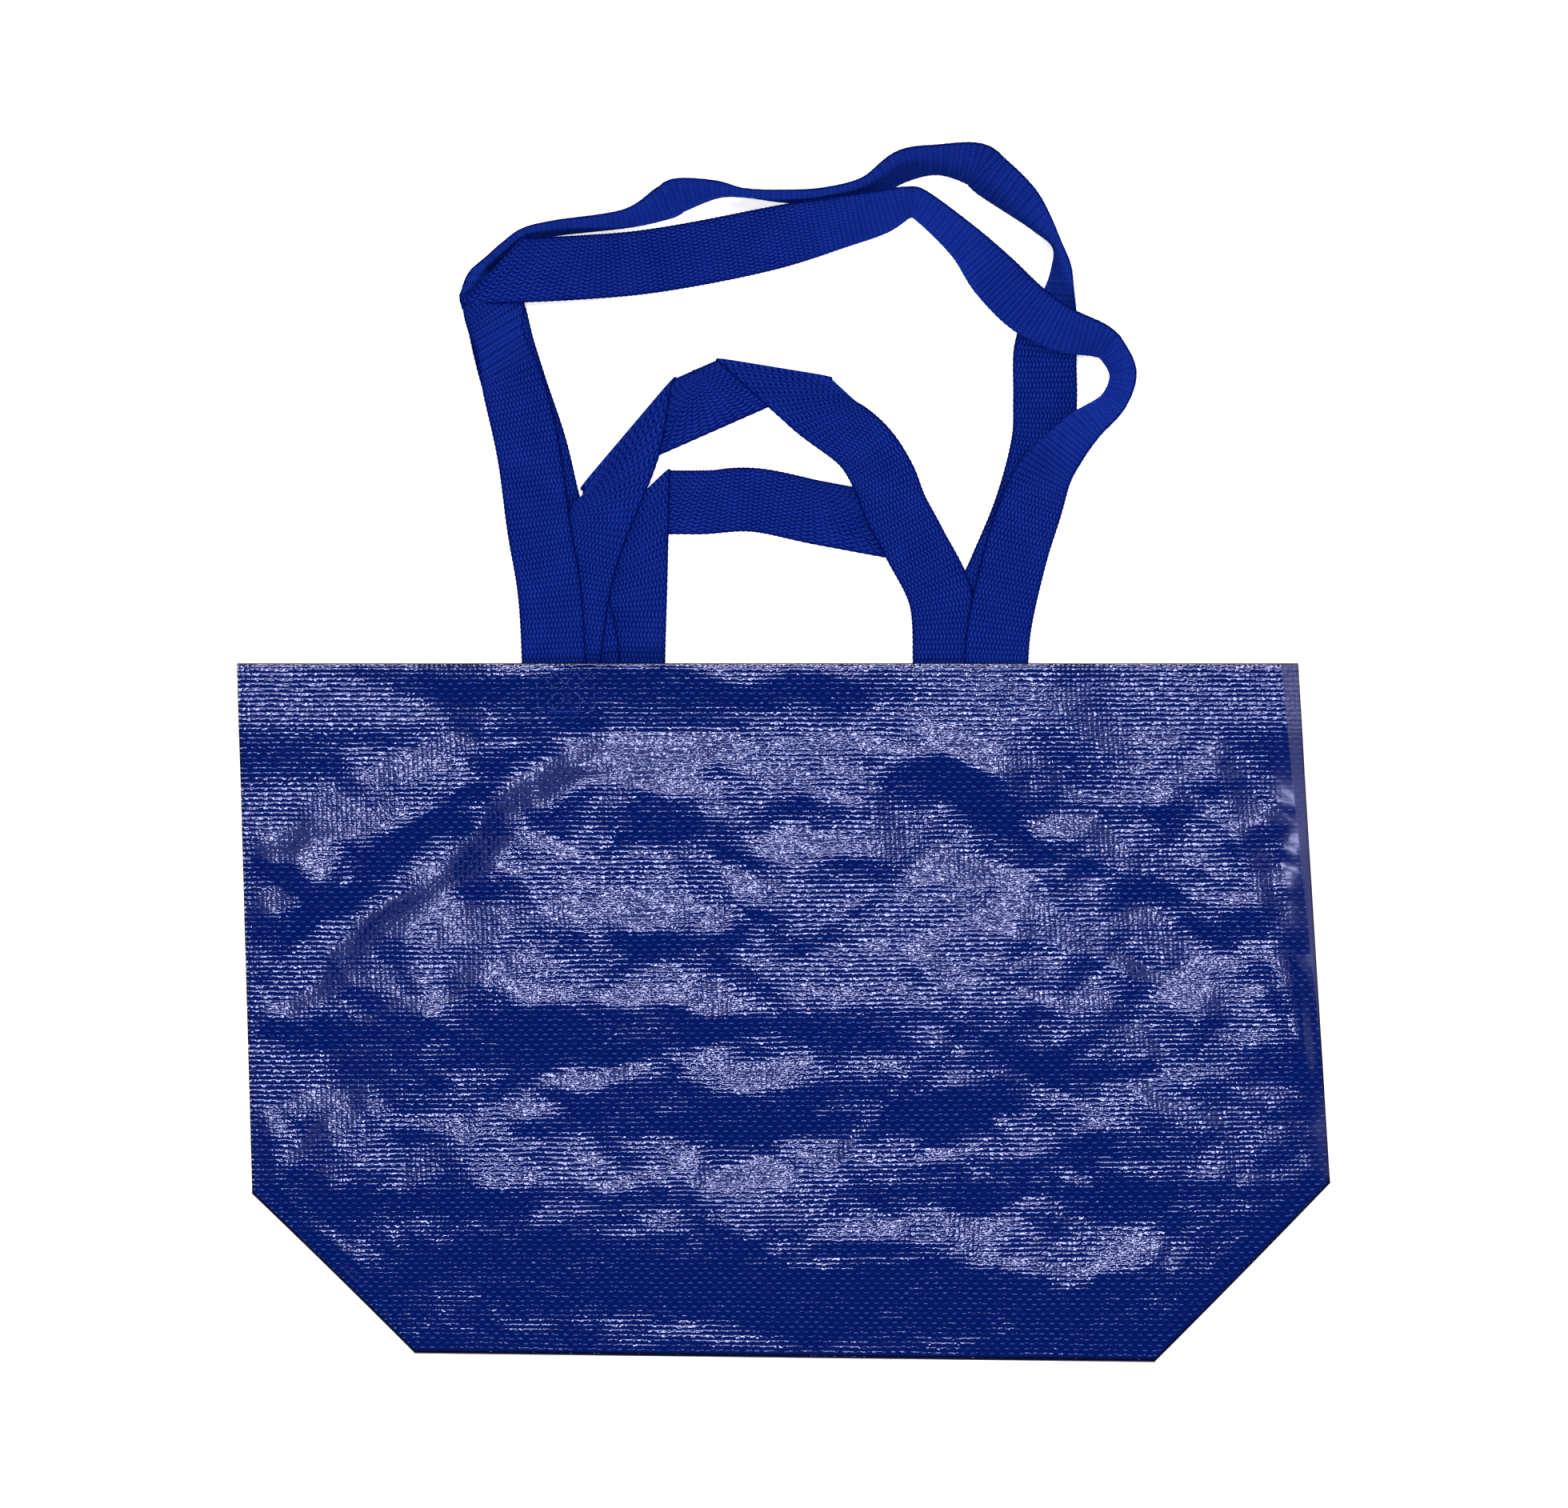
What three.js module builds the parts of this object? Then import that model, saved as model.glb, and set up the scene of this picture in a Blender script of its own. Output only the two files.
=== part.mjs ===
// An empty woven polypropylene shopping bag lying flat on its back. Front, bottom and back are one strip of
// laminated fabric, the side gussets are folded inward, and four webbing handles are sewn inside the mouth.
// Millimetres, +Z up, with the mouth and the handles towards +Y.
import * as THREE from 'three';

const { clamp, degToRad, lerp, smoothstep } = THREE.MathUtils;

// Cut sizes of the bag
const BAG_WIDTH = 505; // across the lower fold of the front
const PANEL_HEIGHT = 245; // from the mouth to the lower fold
const BAG_DEPTH = 158; // bottom panel and gussets, front to back
const HEM_DEPTH = 25; // turned inside at the mouth
const FABRIC = 0.3; // thickness of the laminated fabric
const PLY_GAP = 0.3; // air between layers that lie on each other

// Webbing
const WEB_WIDTH = 30;
const WEB_THICKNESS = 1.2;
const WEB_TAIL = 23; // length sewn inside the mouth
const WEB_FLOOR_GAP = 0.1; // slack under webbing that lies on the table

// How the empty bag lies
const MOUTH_DRAW = 4; // the hem draws each side of the mouth in
const FOLD_SHIFT = 11; // sideways shift of the lower fold
const BOTTOM_SHIFT = 8; // sideways shift of the bottom edge
const FOLD_TILT = 2.5; // rise of the lower fold at the right side
const BOTTOM_TILT = -3; // rise of the bottom edge at the right side
const PANEL_LOFT = 6; // how far the middle of the front stands off its sides
const LOFT_REACH = 70; // distance from the edges over which the front rises
const EDGE_ROLL = 16; // softness of the rolled outer edges
const HEM_SLOPE = 34; // length over which the plies close up below the hem

// Folds of the front: a line of points x, v in the flat bag, x from the middle and v down from the mouth,
// with the height of the crest and its reach towards the mouth and towards the bottom
const FOLDS = [
  { line: [[-187, 137], [-158, 160], [-104, 126], [-51, 122], [9, 119], [38, 143], [74, 170], [101, 163],
    [131, 167], [156, 189], [185, 211], [215, 204], [238, 176]], height: 4.5, above: 75, below: 45 },
  { line: [[-112, 40], [-172, 88], [-232, 140]], height: -3.2, above: 14, below: 9 },
  { line: [[-100, 58], [-160, 104], [-222, 152]], height: 1.6, above: 9, below: 12 },
  { line: [[62, 40], [134, 92]], height: -2.6, above: 16, below: 16 },
  { line: [[30, 226], [52, 208], [100, 196]], height: 2, above: 9, below: 18 },
  { line: [[60, 250], [120, 300]], height: 2, above: 22, below: 22 },
];

// Handles: stack is the place in the pile at the mouth from the back, sewn gives the two sewn ends in x.
// A station is [x from its sewn end, distance out from the mouth, webbing layers under its lower edge, lean].
// The lean in degrees lifts the edge on the left of the way round. A new run starts at each flat fold.
const HANDLES = [
  {
    name: 'long_handle_front', stack: 3, sewn: [-100, 107],
    runs: [
      { left: [[-2, 34, 4.2, 0], [-7, 64, 3.4, 0], [-12, 100, 2.2, 0], [-19, 130, 2, 16], [-26, 154, 3, 40],
        [-27, 183, 13, 0]] },
      { left: [[-27, 183, 14, 0], [10, 185, 9.6, 0], [40, 188, 3, 0], [70, 193, 0, 4], [100, 199, 0, 15]],
        right: [[-76, 206, 0, 38], [-55, 211, 0, 50], [-42, 215.5, 0, 64], [-35, 214, 0, 66],
          [-15, 197, 0, 58], [-1, 181, 2.5, 42], [14, 166, 5.5, 40], [30, 156, 8.5, 48], [47, 151, 5.5, 61],
          [54, 146, 2.5, 67], [59, 135, 0, 68], [54, 122, 0.6, 66], [41, 111, 1.3, 56], [31, 100, 1.6, 47],
          [22, 88, 1.8, 31], [15, 70, 2.2, 10], [9, 51, 2.6, 0], [2, 21, 4.1, 0]] },
    ],
  },
  {
    name: 'long_handle_back', stack: 1, sewn: [-84, 92],
    runs: [
      { left: [[-2, 16, 2, 0], [-8, 39, 2, 0], [-18, 73, 0.3, 0], [-25, 102, 0, 0], [-34, 129, 0, 4],
        [-39.5, 148, 0, 15], [-43.5, 165, 0, 20], [-47.5, 175.5, 0, 30], [-48.6, 183.8, 0, 77],
        [-38, 193.3, 0, 79], [-29, 200, 0, 80], [-15, 203.5, 0, 80], [18, 208, 0, 77], [36, 215.5, 0, 62],
        [43, 219, 0, 62], [60, 221.5, 0, 78], [73, 220, 0, 86]],
      right: [[-86, 218.5, 0, 83], [-66, 218.5, 0, 79], [-46, 222, 0, 72], [-29, 232.5, 0, 64],
        [-12, 235.5, 0, 66], [5, 233.5, 0, 52], [12.5, 228, 0, 50], [26.5, 216.5, 0, 59], [36, 206, 0, 73],
        [43, 196, 0, 84],
        [45, 185, 0, 74], [44, 174, 0, 63], [41, 161, 0, 38], [38, 146, 0, 10], [38, 125, 0, 3],
        [37, 103, 0, 0], [29, 73, 0.3, 0], [17, 44, 2, 0], [13, 35, 2, 0], [7, 18, 1.9, 0]] },
    ],
  },
  {
    name: 'short_handle_front', stack: 2, sewn: [-93, 83],
    runs: [
      { left: [[4, 32, 3, 0], [10, 56, 2.6, 0], [23, 89, 2.2, 0], [28, 108, 1.4, 0]] },
      { left: [[28, 108, 0.4, 0]], right: [[-80, 138, 0, 0]] },
      { right: [[-80, 138, 1, 0], [-58, 118, 0.6, 16], [-39, 103, 0.9, 18], [-29, 88, 2.1, 8],
        [-23, 73, 2.2, 0], [-14, 56, 2.5, 0], [-2, 31, 3, 0]] },
    ],
  },
  {
    name: 'short_handle_back', stack: 0, sewn: [-63, 86],
    runs: [
      { left: [[1, 35, 1, 0], [2, 76, 1, 0]] },
      { left: [[2, 76, 0, 0], [32, 76, 0, 0], [57, 77, 0, 0]], right: [[-62, 71, 0, 0], [-19, 63, 0, 0]] },
      { right: [[-19, 63, 1, 0], [-5, 31, 1, 0]] },
    ],
  },
];
const HANDLE_MARGIN = 4; // raised hem beside the outermost handles
const FOLD_EASE = 54; // length of webbing over which its weave straightens after a flat fold

// Mesh density
const PANEL_CELL = 14;
const GUSSET_CELLS = 3;
const WEB_STEP = 9;

const FABRIC_COLOUR = 0x0d1f7a;
const WEB_COLOUR = 0x0a2a9c;
const FABRIC_ROUGHNESS = 0.3;
const WEB_ROUGHNESS = 0.7;

// Plies of the lying bag, counted from the back: the gussets or tucked corners lie between back and front
const UNDER_PLY = 1;
const OVER_PLY = 2;
const FRONT_PLY = 3;
const MID_PLY = FRONT_PLY / 2;
const HEM_PLIES = 4; // plies that the hems add at the mouth
const GUSSET_RISE = HEM_PLIES / 2;

// Layer heights
const HALF_WIDTH = BAG_WIDTH / 2;
const HALF_DEPTH = BAG_DEPTH / 2;
const STRIP_END = PANEL_HEIGHT + HALF_DEPTH;
const PLY = FABRIC + PLY_GAP;
const WEB_PLY = WEB_THICKNESS + PLY_GAP;
const level = (ply) => FABRIC / 2 + ply * PLY;
const WEB_BASE = WEB_FLOOR_GAP + WEB_THICKNESS / 2;
const SEWN_BASE = level(1) + FABRIC / 2 + PLY_GAP + WEB_THICKNESS / 2;
const MOUTH_TOP = SEWN_BASE - WEB_THICKNESS / 2 + HANDLES.length * WEB_PLY + FABRIC / 2 + PLY;
const HANDLE_ZONE = Math.max(...HANDLES.flatMap(({ sewn }) => sewn.map(Math.abs))) + WEB_WIDTH / 2
  + HANDLE_MARGIN;

// A sheet of even thickness built from rows of points on its middle surface
class Sheet {
  points = [];
  triangles = [];

  row(points) {
    const first = this.points.length;
    this.points.push(...points);
    return points.map((_, i) => first + i);
  }

  face(a, b, c) {
    if (a !== b && b !== c && c !== a) this.triangles.push([a, b, c]);
  }

  strip(row, next) {
    for (let i = 0; i + 1 < row.length; i += 1) {
      this.face(row[i], next[i], next[i + 1]);
      this.face(row[i], next[i + 1], row[i + 1]);
    }
  }

  strips(rows) {
    for (let i = 0; i + 1 < rows.length; i += 1) this.strip(rows[i], rows[i + 1]);
  }

  // Half the thickness on each side of every point, mitred so that both faces stay parallel at a fold
  offsets(half) {
    const mitreLimit = 1.5;
    const sums = this.points.map(() => new THREE.Vector3());
    const around = this.points.map(() => []);
    for (const corners of this.triangles) {
      const [a, b, c] = corners.map((i) => this.points[i]);
      const normal = new THREE.Triangle(a, b, c).getNormal(new THREE.Vector3());
      corners.forEach((corner, i) => {
        const here = this.points[corner];
        const ahead = this.points[corners[(i + 1) % 3]].clone().sub(here);
        const behind = this.points[corners[(i + 2) % 3]].clone().sub(here);
        sums[corner].addScaledVector(normal, ahead.angleTo(behind));
        around[corner].push(normal);
      });
    }
    return sums.map((sum, i) => {
      const normal = sum.normalize();
      const tightest = Math.min(...around[i].map((face) => face.dot(normal)));
      return normal.multiplyScalar(half / Math.max(tightest, 1 / mitreLimit));
    });
  }

  solid(thickness) {
    const offsets = this.offsets(thickness / 2);
    const count = this.points.length;
    const outer = this.points.map((point, i) => point.clone().add(offsets[i]));
    const inner = this.points.map((point, i) => point.clone().sub(offsets[i]));
    const positions = [...outer, ...inner].flatMap(({ x, y, z }) => [x, y, Math.max(z, 0)]);
    const edges = new Set(this.triangles.flatMap(([a, b, c]) => [`${a},${b}`, `${b},${c}`, `${c},${a}`]));
    const index = [];
    for (const [a, b, c] of this.triangles) {
      index.push(a, b, c, count + c, count + b, count + a);
      for (const [from, to] of [[a, b], [b, c], [c, a]]) {
        if (edges.has(`${to},${from}`)) continue;
        index.push(to, from, count + from, to, count + from, count + to);
      }
    }
    const geometry = new THREE.BufferGeometry();
    geometry.setAttribute('position', new THREE.Float32BufferAttribute(positions, 3));
    geometry.setIndex(index);
    geometry.computeVertexNormals();
    return geometry;
  }
}

const steps = (count) => Array.from({ length: count + 1 }, (_, i) => i / count);

// Place on the table of a point of the folded bag, x across from the middle and v down from the mouth
function lay(x, v, z) {
  const down = clamp(v / PANEL_HEIGHT, 0, 1);
  const past = clamp((v - PANEL_HEIGHT) / HALF_DEPTH, 0, 1);
  const side = x / HALF_WIDTH;
  const drawn = x - side * MOUTH_DRAW * (1 - down);
  const shift = lerp(FOLD_SHIFT * down, BOTTOM_SHIFT, past);
  const tilt = lerp(FOLD_TILT * down, BOTTOM_TILT, past);
  return new THREE.Vector3(drawn + shift, side * tilt - v, z);
}

// 1 at the hem, where eight plies lie on each other, and 0 below it
const hemRise = (v) => 1 - smoothstep(v, HEM_DEPTH + PLY, HEM_DEPTH + HEM_SLOPE);

function foldHeight(x, v, { line, height, above, below }) {
  const point = new THREE.Vector3(x, v, 0);
  const corners = line.map(([cornerX, cornerV]) => new THREE.Vector3(cornerX, cornerV, 0));
  let nearest = Infinity;
  let reach = above;
  for (let i = 0; i + 1 < corners.length; i += 1) {
    const stretch = new THREE.Line3(corners[i], corners[i + 1]);
    const offset = point.clone().sub(stretch.closestPointToPoint(point, true, new THREE.Vector3()));
    if (offset.length() < nearest) {
      nearest = offset.length();
      const along = stretch.delta(new THREE.Vector3());
      reach = (along.x * offset.y - along.y * offset.x) * along.x > 0 ? below : above;
    }
  }
  return height * Math.exp(-((nearest / reach) ** 2));
}

// Height of the front's middle surface above the table
function frontHeight(x, v) {
  const across = Math.abs(x);
  const fromSide = Math.min(HALF_WIDTH - across, (HALF_WIDTH - across + PANEL_HEIGHT - v) * Math.SQRT1_2);
  const fromEdge = Math.max(Math.min(fromSide, STRIP_END - v), 0);
  const hem = hemRise(v);
  const gap = HALF_WIDTH - HALF_DEPTH;
  const mouth = (MOUTH_TOP - level(FRONT_PLY + HEM_PLIES)) * (1 - smoothstep(across, HANDLE_ZONE, gap));
  const loft = PANEL_LOFT * smoothstep(fromEdge, 0, LOFT_REACH);
  const folds = FOLDS.reduce((sum, fold) => sum + foldHeight(x, v, fold), 0);
  const body = loft + folds * smoothstep(fromEdge, 0, EDGE_ROLL);
  return level(FRONT_PLY + HEM_PLIES * hem) + Math.max(lerp(body, mouth, hem), 0);
}

// Front, bottom and back in one piece, from the front hem round the bottom to the back hem
function mainPanel() {
  const sheet = new Sheet();
  const columns = steps(Math.round(BAG_WIDTH / PANEL_CELL));
  const panelRows = steps(Math.round((PANEL_HEIGHT - HEM_DEPTH) / PANEL_CELL));
  const hemRows = steps(2);
  const bottomRows = steps(Math.round(HALF_DEPTH / PANEL_CELL));
  const across = (inset, place) => columns.map((u) => place(lerp(inset - HALF_WIDTH, HALF_WIDTH - inset, u)));
  const row = (v, height) => sheet.row(across(0, (x) => lay(x, v, height(x))));
  const down = (rows, from, to) => rows.map((t) => lerp(from, to, t));

  const frontRow = (v, drop = 0) => row(v, (x) => frontHeight(x, Math.max(v, 0)) - drop);
  const backRow = (v, ply) => row(v, () => level(ply));
  const front = [
    ...down(hemRows, HEM_DEPTH, 0).map((v) => frontRow(v, PLY)),
    frontRow(-PLY / 2, PLY / 2),
    ...down(hemRows, 0, HEM_DEPTH).map((v) => frontRow(v)),
    ...down(panelRows, HEM_DEPTH, PANEL_HEIGHT).slice(1).map((v) => frontRow(v)),
  ];
  const back = [
    ...down(hemRows, PANEL_HEIGHT, 0).map((v) => backRow(v, 0)),
    backRow(-PLY / 2, UNDER_PLY / 2),
    ...down(hemRows, 0, HEM_DEPTH).map((v) => backRow(v, UNDER_PLY)),
  ];
  sheet.strips(front);
  sheet.strips(back);

  // A bottom row runs up one tucked corner, round its 45 degree fold, across, and down the other corner
  const flapSteps = steps(bottomRows.length - 1);
  const corner = (side, s, plies, swell) => {
    const edge = side * (HALF_WIDTH - s);
    const flap = flapSteps.map((t) => lay(edge - side * swell, PANEL_HEIGHT + s * t, level(plies[0])));
    const turn = PLY / 2 * Math.SQRT1_2;
    const fold = lay(edge + side * turn, PANEL_HEIGHT + s + turn, level(plies[1]));
    return [...flap, fold];
  };
  const bottomRow = (s, plies, main) => {
    const swell = main ? 0 : PLY / 2;
    if (s === 0) {
      const tip = (side) => {
        const points = corner(side, 0, plies, 0);
        const [flap, fold] = sheet.row([points[0], points.at(-1)]);
        return [...flapSteps.map(() => flap), fold];
      };
      const left = tip(-1);
      const right = tip(1);
      return [...left, ...main, ...right.reverse()];
    }
    const edge = across(s, (x) => (main ? main(x) : lay(x, STRIP_END + MID_PLY * PLY, level(MID_PLY))));
    const left = corner(-1, s, plies, swell);
    const right = corner(1, s, plies, swell);
    return sheet.row([...left, ...edge, ...right.reverse()]);
  };
  const depths = bottomRows.slice(1).map((t) => t * HALF_DEPTH);
  const overPlies = [OVER_PLY, (OVER_PLY + FRONT_PLY) / 2];
  const underPlies = [UNDER_PLY, UNDER_PLY / 2];
  const upper = depths.map((s) => bottomRow(s, overPlies, (x) => {
    const v = PANEL_HEIGHT + s;
    return lay(x, v, frontHeight(x, v));
  }));
  const lower = depths.map((s) => bottomRow(s, underPlies, (x) => lay(x, PANEL_HEIGHT + s, level(0))));
  sheet.strips([
    bottomRow(0, overPlies, front.at(-1)),
    ...upper,
    bottomRow(HALF_DEPTH, [MID_PLY, MID_PLY], null),
    ...lower.reverse(),
    bottomRow(0, underPlies, back[0]),
  ]);
  return sheet.solid(FABRIC);
}

// Side gusset: a V folded inward, its hem turned to the inside of the bag
function gusset(side) {
  const sheet = new Sheet();
  const outer = HALF_WIDTH - PLY_GAP;
  const inner = HALF_WIDTH - HALF_DEPTH;
  const rows = steps(Math.round(PANEL_HEIGHT / PANEL_CELL / 2));
  const cells = steps(GUSSET_CELLS);
  const row = (v, turn) => {
    const rise = GUSSET_RISE * hemRise(Math.max(v, 0));
    const fold = inner - turn * PLY;
    const upper = cells.map((t) => lay(side * lerp(outer, fold, t), v, level(OVER_PLY + rise + turn)));
    const crown = lay(side * (fold - PLY / 2 - turn * PLY), v, level(MID_PLY + rise));
    const lower = cells.map((t) => lay(side * lerp(fold, outer, t), v, level(UNDER_PLY + rise - turn)));
    return sheet.row([...upper, crown, ...lower]);
  };
  const seam = PANEL_HEIGHT - PLY_GAP;
  const body = rows.map((t) => row(lerp(seam, 0, t), 0));
  const hem = [row(-PLY / 2, 0.5), row(0, 1), row(HEM_DEPTH, 1)];
  const sheetRows = [...body, ...hem];
  sheet.strips(side > 0 ? sheetRows : sheetRows.reverse());
  return sheet.solid(FABRIC);
}

// Smooth value between the second and third of four stations
function between([a, b, c, d], t) {
  const curve = (p, q, r, s) => 0.5 * (2 * q + (r - p) * t + (2 * p - 5 * q + 4 * r - s) * t ** 2
    + (3 * q - p - 3 * r + s) * t ** 3);
  return b.map((_, i) => curve(a[i], b[i], c[i], d[i]));
}

// Even steps along one run of webbing as { x, y, layer, lean }
function walk(stations) {
  const places = [];
  const at = (i) => stations[clamp(i, 0, stations.length - 1)];
  for (let i = 0; i + 1 < stations.length; i += 1) {
    const span = Math.hypot(at(i + 1)[0] - at(i)[0], at(i + 1)[1] - at(i)[1]);
    const count = Math.max(Math.round(span / WEB_STEP), 1);
    const stretch = [at(i - 1), at(i), at(i + 1), at(i + 2)];
    for (let k = 0; k < count; k += 1) places.push(between(stretch, k / count));
  }
  places.push(at(stations.length - 1));
  return places.map(([x, y, layer, lean]) => ({ x, y, layer: Math.max(layer, 0), lean }));
}

// Webbing handle: rows of two points across, with slanted rows and a turn over at each flat fold
function handle({ stack, sewn, runs }) {
  const sewnLayer = (SEWN_BASE - WEB_BASE) / WEB_PLY + stack;
  const tail = (x) => [[x, -WEB_TAIL, sewnLayer, 0], [x, 0, sewnLayer, 0]];
  const paths = runs.map(({ left = [], right = [] }, i) => {
    const stations = [
      ...left.map(([x, ...rest]) => [sewn[0] + x, ...rest]),
      ...right.map(([x, ...rest]) => [sewn[1] + x, ...rest]),
    ];
    if (i === 0) stations.unshift(...tail(sewn[0]));
    if (i === runs.length - 1) stations.push(...tail(sewn[1]).reverse());
    return walk(stations);
  });
  const heading = (path, i) => {
    const before = path[Math.max(i - 1, 0)];
    const after = path[Math.min(i + 1, path.length - 1)];
    return new THREE.Vector2(after.x - before.x, after.y - before.y).normalize();
  };

  const half = WEB_WIDTH / 2;
  const sheet = new Sheet();
  const rows = [];
  let turned = 1;
  paths.forEach((path, p) => {
    // Slant of the rows at a fold: the fold line halves the angle between the two runs
    const slant = (one, other) => {
      const fold = one.clone().add(other).normalize();
      const left = new THREE.Vector2(-one.y, one.x);
      return half * fold.dot(one) / fold.dot(left);
    };
    const start = p > 0 ? slant(heading(path, 0), heading(paths[p - 1], paths[p - 1].length - 1)) : 0;
    const end = p + 1 < paths.length ? slant(heading(path, path.length - 1), heading(paths[p + 1], 0)) : 0;
    path.forEach((place, i) => {
      const ahead = heading(path, i);
      const left = new THREE.Vector2(-ahead.y, ahead.x);
      const fromStart = Math.hypot(place.x - path[0].x, place.y - path[0].y);
      const fromEnd = Math.hypot(place.x - path.at(-1).x, place.y - path.at(-1).y);
      const near = (distance) => Math.max(1 - distance / FOLD_EASE, 0);
      const skew = start * near(fromStart) + end * near(fromEnd);
      const lean = degToRad(place.lean);
      const low = WEB_BASE + place.layer * WEB_PLY;
      const edge = (side) => new THREE.Vector3(
        place.x + side * (left.x * half + ahead.x * skew) * Math.cos(lean),
        place.y + side * (left.y * half + ahead.y * skew) * Math.cos(lean),
        low + (side > 0 ? WEB_WIDTH * Math.sin(lean) : 0),
      );
      rows.push(sheet.row([edge(turned), edge(-turned)]));
    });
    if (p + 1 === paths.length) return;
    const away = heading(path, path.length - 1).sub(heading(paths[p + 1], 0)).normalize();
    const rise = (paths[p + 1][0].layer - path.at(-1).layer) * WEB_PLY / 2;
    const crown = rows.at(-1).map((i) => sheet.points[i].clone().add(
      new THREE.Vector3(away.x, away.y, 0).multiplyScalar(Math.abs(rise)).setZ(rise),
    ));
    rows.push(sheet.row(crown));
    turned = -turned;
  });
  sheet.strips(rows.reverse());
  return sheet.solid(WEB_THICKNESS);
}

function piece(name, geometry, color, roughness) {
  const mesh = new THREE.Mesh(geometry, new THREE.MeshStandardMaterial({ color, roughness, metalness: 0 }));
  mesh.name = name;
  return mesh;
}

const bag = new THREE.Group();
bag.add(piece('main_panel', mainPanel(), FABRIC_COLOUR, FABRIC_ROUGHNESS));
bag.add(piece('left_gusset', gusset(-1), FABRIC_COLOUR, FABRIC_ROUGHNESS));
bag.add(piece('right_gusset', gusset(1), FABRIC_COLOUR, FABRIC_ROUGHNESS));
for (const route of HANDLES) bag.add(piece(route.name, handle(route), WEB_COLOUR, WEB_ROUGHNESS));

// Origin under the middle of the lying bag
const box = new THREE.Box3().setFromObject(bag);
const middle = box.getCenter(new THREE.Vector3());
bag.position.set(-middle.x, -middle.y, -box.min.z);

export default bag;
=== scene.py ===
"""Empty shopping bag of laminated woven polypropylene, lying on its back, handles spread out."""
from math import pi, radians, sqrt

import bpy
import numpy as np
from bpy.props import FloatProperty, FloatVectorProperty, IntProperty, PointerProperty
from bpy.types import Operator, Panel, PropertyGroup
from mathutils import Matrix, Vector
from mathutils.geometry import delaunay_2d_cdt


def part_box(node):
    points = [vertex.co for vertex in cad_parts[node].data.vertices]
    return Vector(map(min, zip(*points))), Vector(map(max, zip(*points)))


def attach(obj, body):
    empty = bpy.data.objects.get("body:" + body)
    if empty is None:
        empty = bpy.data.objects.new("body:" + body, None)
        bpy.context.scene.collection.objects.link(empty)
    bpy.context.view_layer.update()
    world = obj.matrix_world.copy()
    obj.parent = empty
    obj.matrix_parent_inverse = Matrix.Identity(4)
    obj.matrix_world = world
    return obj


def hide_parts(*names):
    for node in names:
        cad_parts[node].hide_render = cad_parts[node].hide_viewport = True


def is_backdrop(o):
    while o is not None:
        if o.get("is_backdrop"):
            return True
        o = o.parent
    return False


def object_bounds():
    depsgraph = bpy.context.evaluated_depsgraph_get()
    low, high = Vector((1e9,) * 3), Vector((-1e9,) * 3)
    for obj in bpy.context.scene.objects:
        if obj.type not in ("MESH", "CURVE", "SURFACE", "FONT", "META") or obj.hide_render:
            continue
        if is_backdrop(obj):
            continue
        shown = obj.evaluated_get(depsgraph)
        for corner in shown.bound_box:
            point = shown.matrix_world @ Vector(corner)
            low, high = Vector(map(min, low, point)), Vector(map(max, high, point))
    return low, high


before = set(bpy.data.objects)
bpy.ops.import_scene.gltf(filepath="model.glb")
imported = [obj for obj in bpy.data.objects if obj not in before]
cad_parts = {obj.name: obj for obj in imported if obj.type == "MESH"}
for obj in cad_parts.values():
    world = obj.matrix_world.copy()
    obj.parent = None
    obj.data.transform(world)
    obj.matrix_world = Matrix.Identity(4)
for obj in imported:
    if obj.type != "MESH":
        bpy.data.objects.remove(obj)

bl_info = {
    "name": "Woven Shopping Bag",
    "version": (1, 0, 0),
    "blender": (4, 5, 0),
    "location": "3D View > Sidebar > Bag",
    "description": "Builds a lying polypropylene shopping bag and a plain studio round it",
    "category": "Add Mesh",
}

CAD_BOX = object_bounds()
MM = 0.001
SQRT_HALF = sqrt(0.5)
SHARP_ANGLE = radians(50)


def length(name, description, millimetres):
    return FloatProperty(name=name, description=description, default=millimetres * MM, unit="LENGTH")


def colour(name, description, rgb):
    return FloatVectorProperty(name=name, description=description, default=rgb, subtype="COLOR", size=3)


class BagSizes(PropertyGroup):
    """Cut sizes of the bag and the way it lies"""

    bag_width: length("Bag width", "Across the lower fold of the front", 505)
    panel_height: length("Panel height", "From the mouth to the lower fold", 245)
    bag_depth: length("Bag depth", "Bottom panel and gussets, front to back", 158)
    hem_depth: length("Hem depth", "Fabric turned inside at the mouth", 25)
    fabric: length("Fabric", "Thickness of the laminated fabric", 0.3)
    ply_gap: length("Ply gap", "Air between layers that lie on each other", 0.3)
    mouth_draw: length("Mouth draw", "How far the hem draws each side of the mouth in", 4)
    fold_shift: length("Fold shift", "Sideways shift of the lower fold", 11)
    bottom_shift: length("Bottom shift", "Sideways shift of the bottom edge", 8)
    fold_tilt: length("Fold tilt", "Rise of the lower fold at the right side", 2.5)
    bottom_tilt: length("Bottom tilt", "Rise of the bottom edge at the right side", -3)
    panel_loft: length("Panel loft", "How far the middle of the front stands off its sides", 6)
    loft_reach: length("Loft reach", "How far from the bottom the front rises, twice that from the sides", 70)
    panel_sag: length("Panel sag", "How far the middle of the front sinks between mouth and bottom", 2.2)
    edge_roll: length("Edge roll", "Softness of the rolled outer edges", 11)
    hem_slope: length("Hem slope", "Length over which the plies close up below the hem", 34)
    web_width: length("Webbing width", "Width of the handles", 30)
    web_thickness: length("Webbing thickness", "Thickness of the handles", 1.2)
    web_tail: length("Webbing tail", "Length sewn inside the mouth", 23)
    web_floor_gap: length("Webbing slack", "Slack under webbing that lies on the table", 0.1)
    crumple: length("Crumple", "Height of the facets of a film that has been folded before", 0.45)
    panel_cell: length("Panel cell", "Mesh size of the main panel", 2.6)
    crumple_seed: IntProperty(name="Crumple seed", description="Layout of the facets", default=7)


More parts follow.
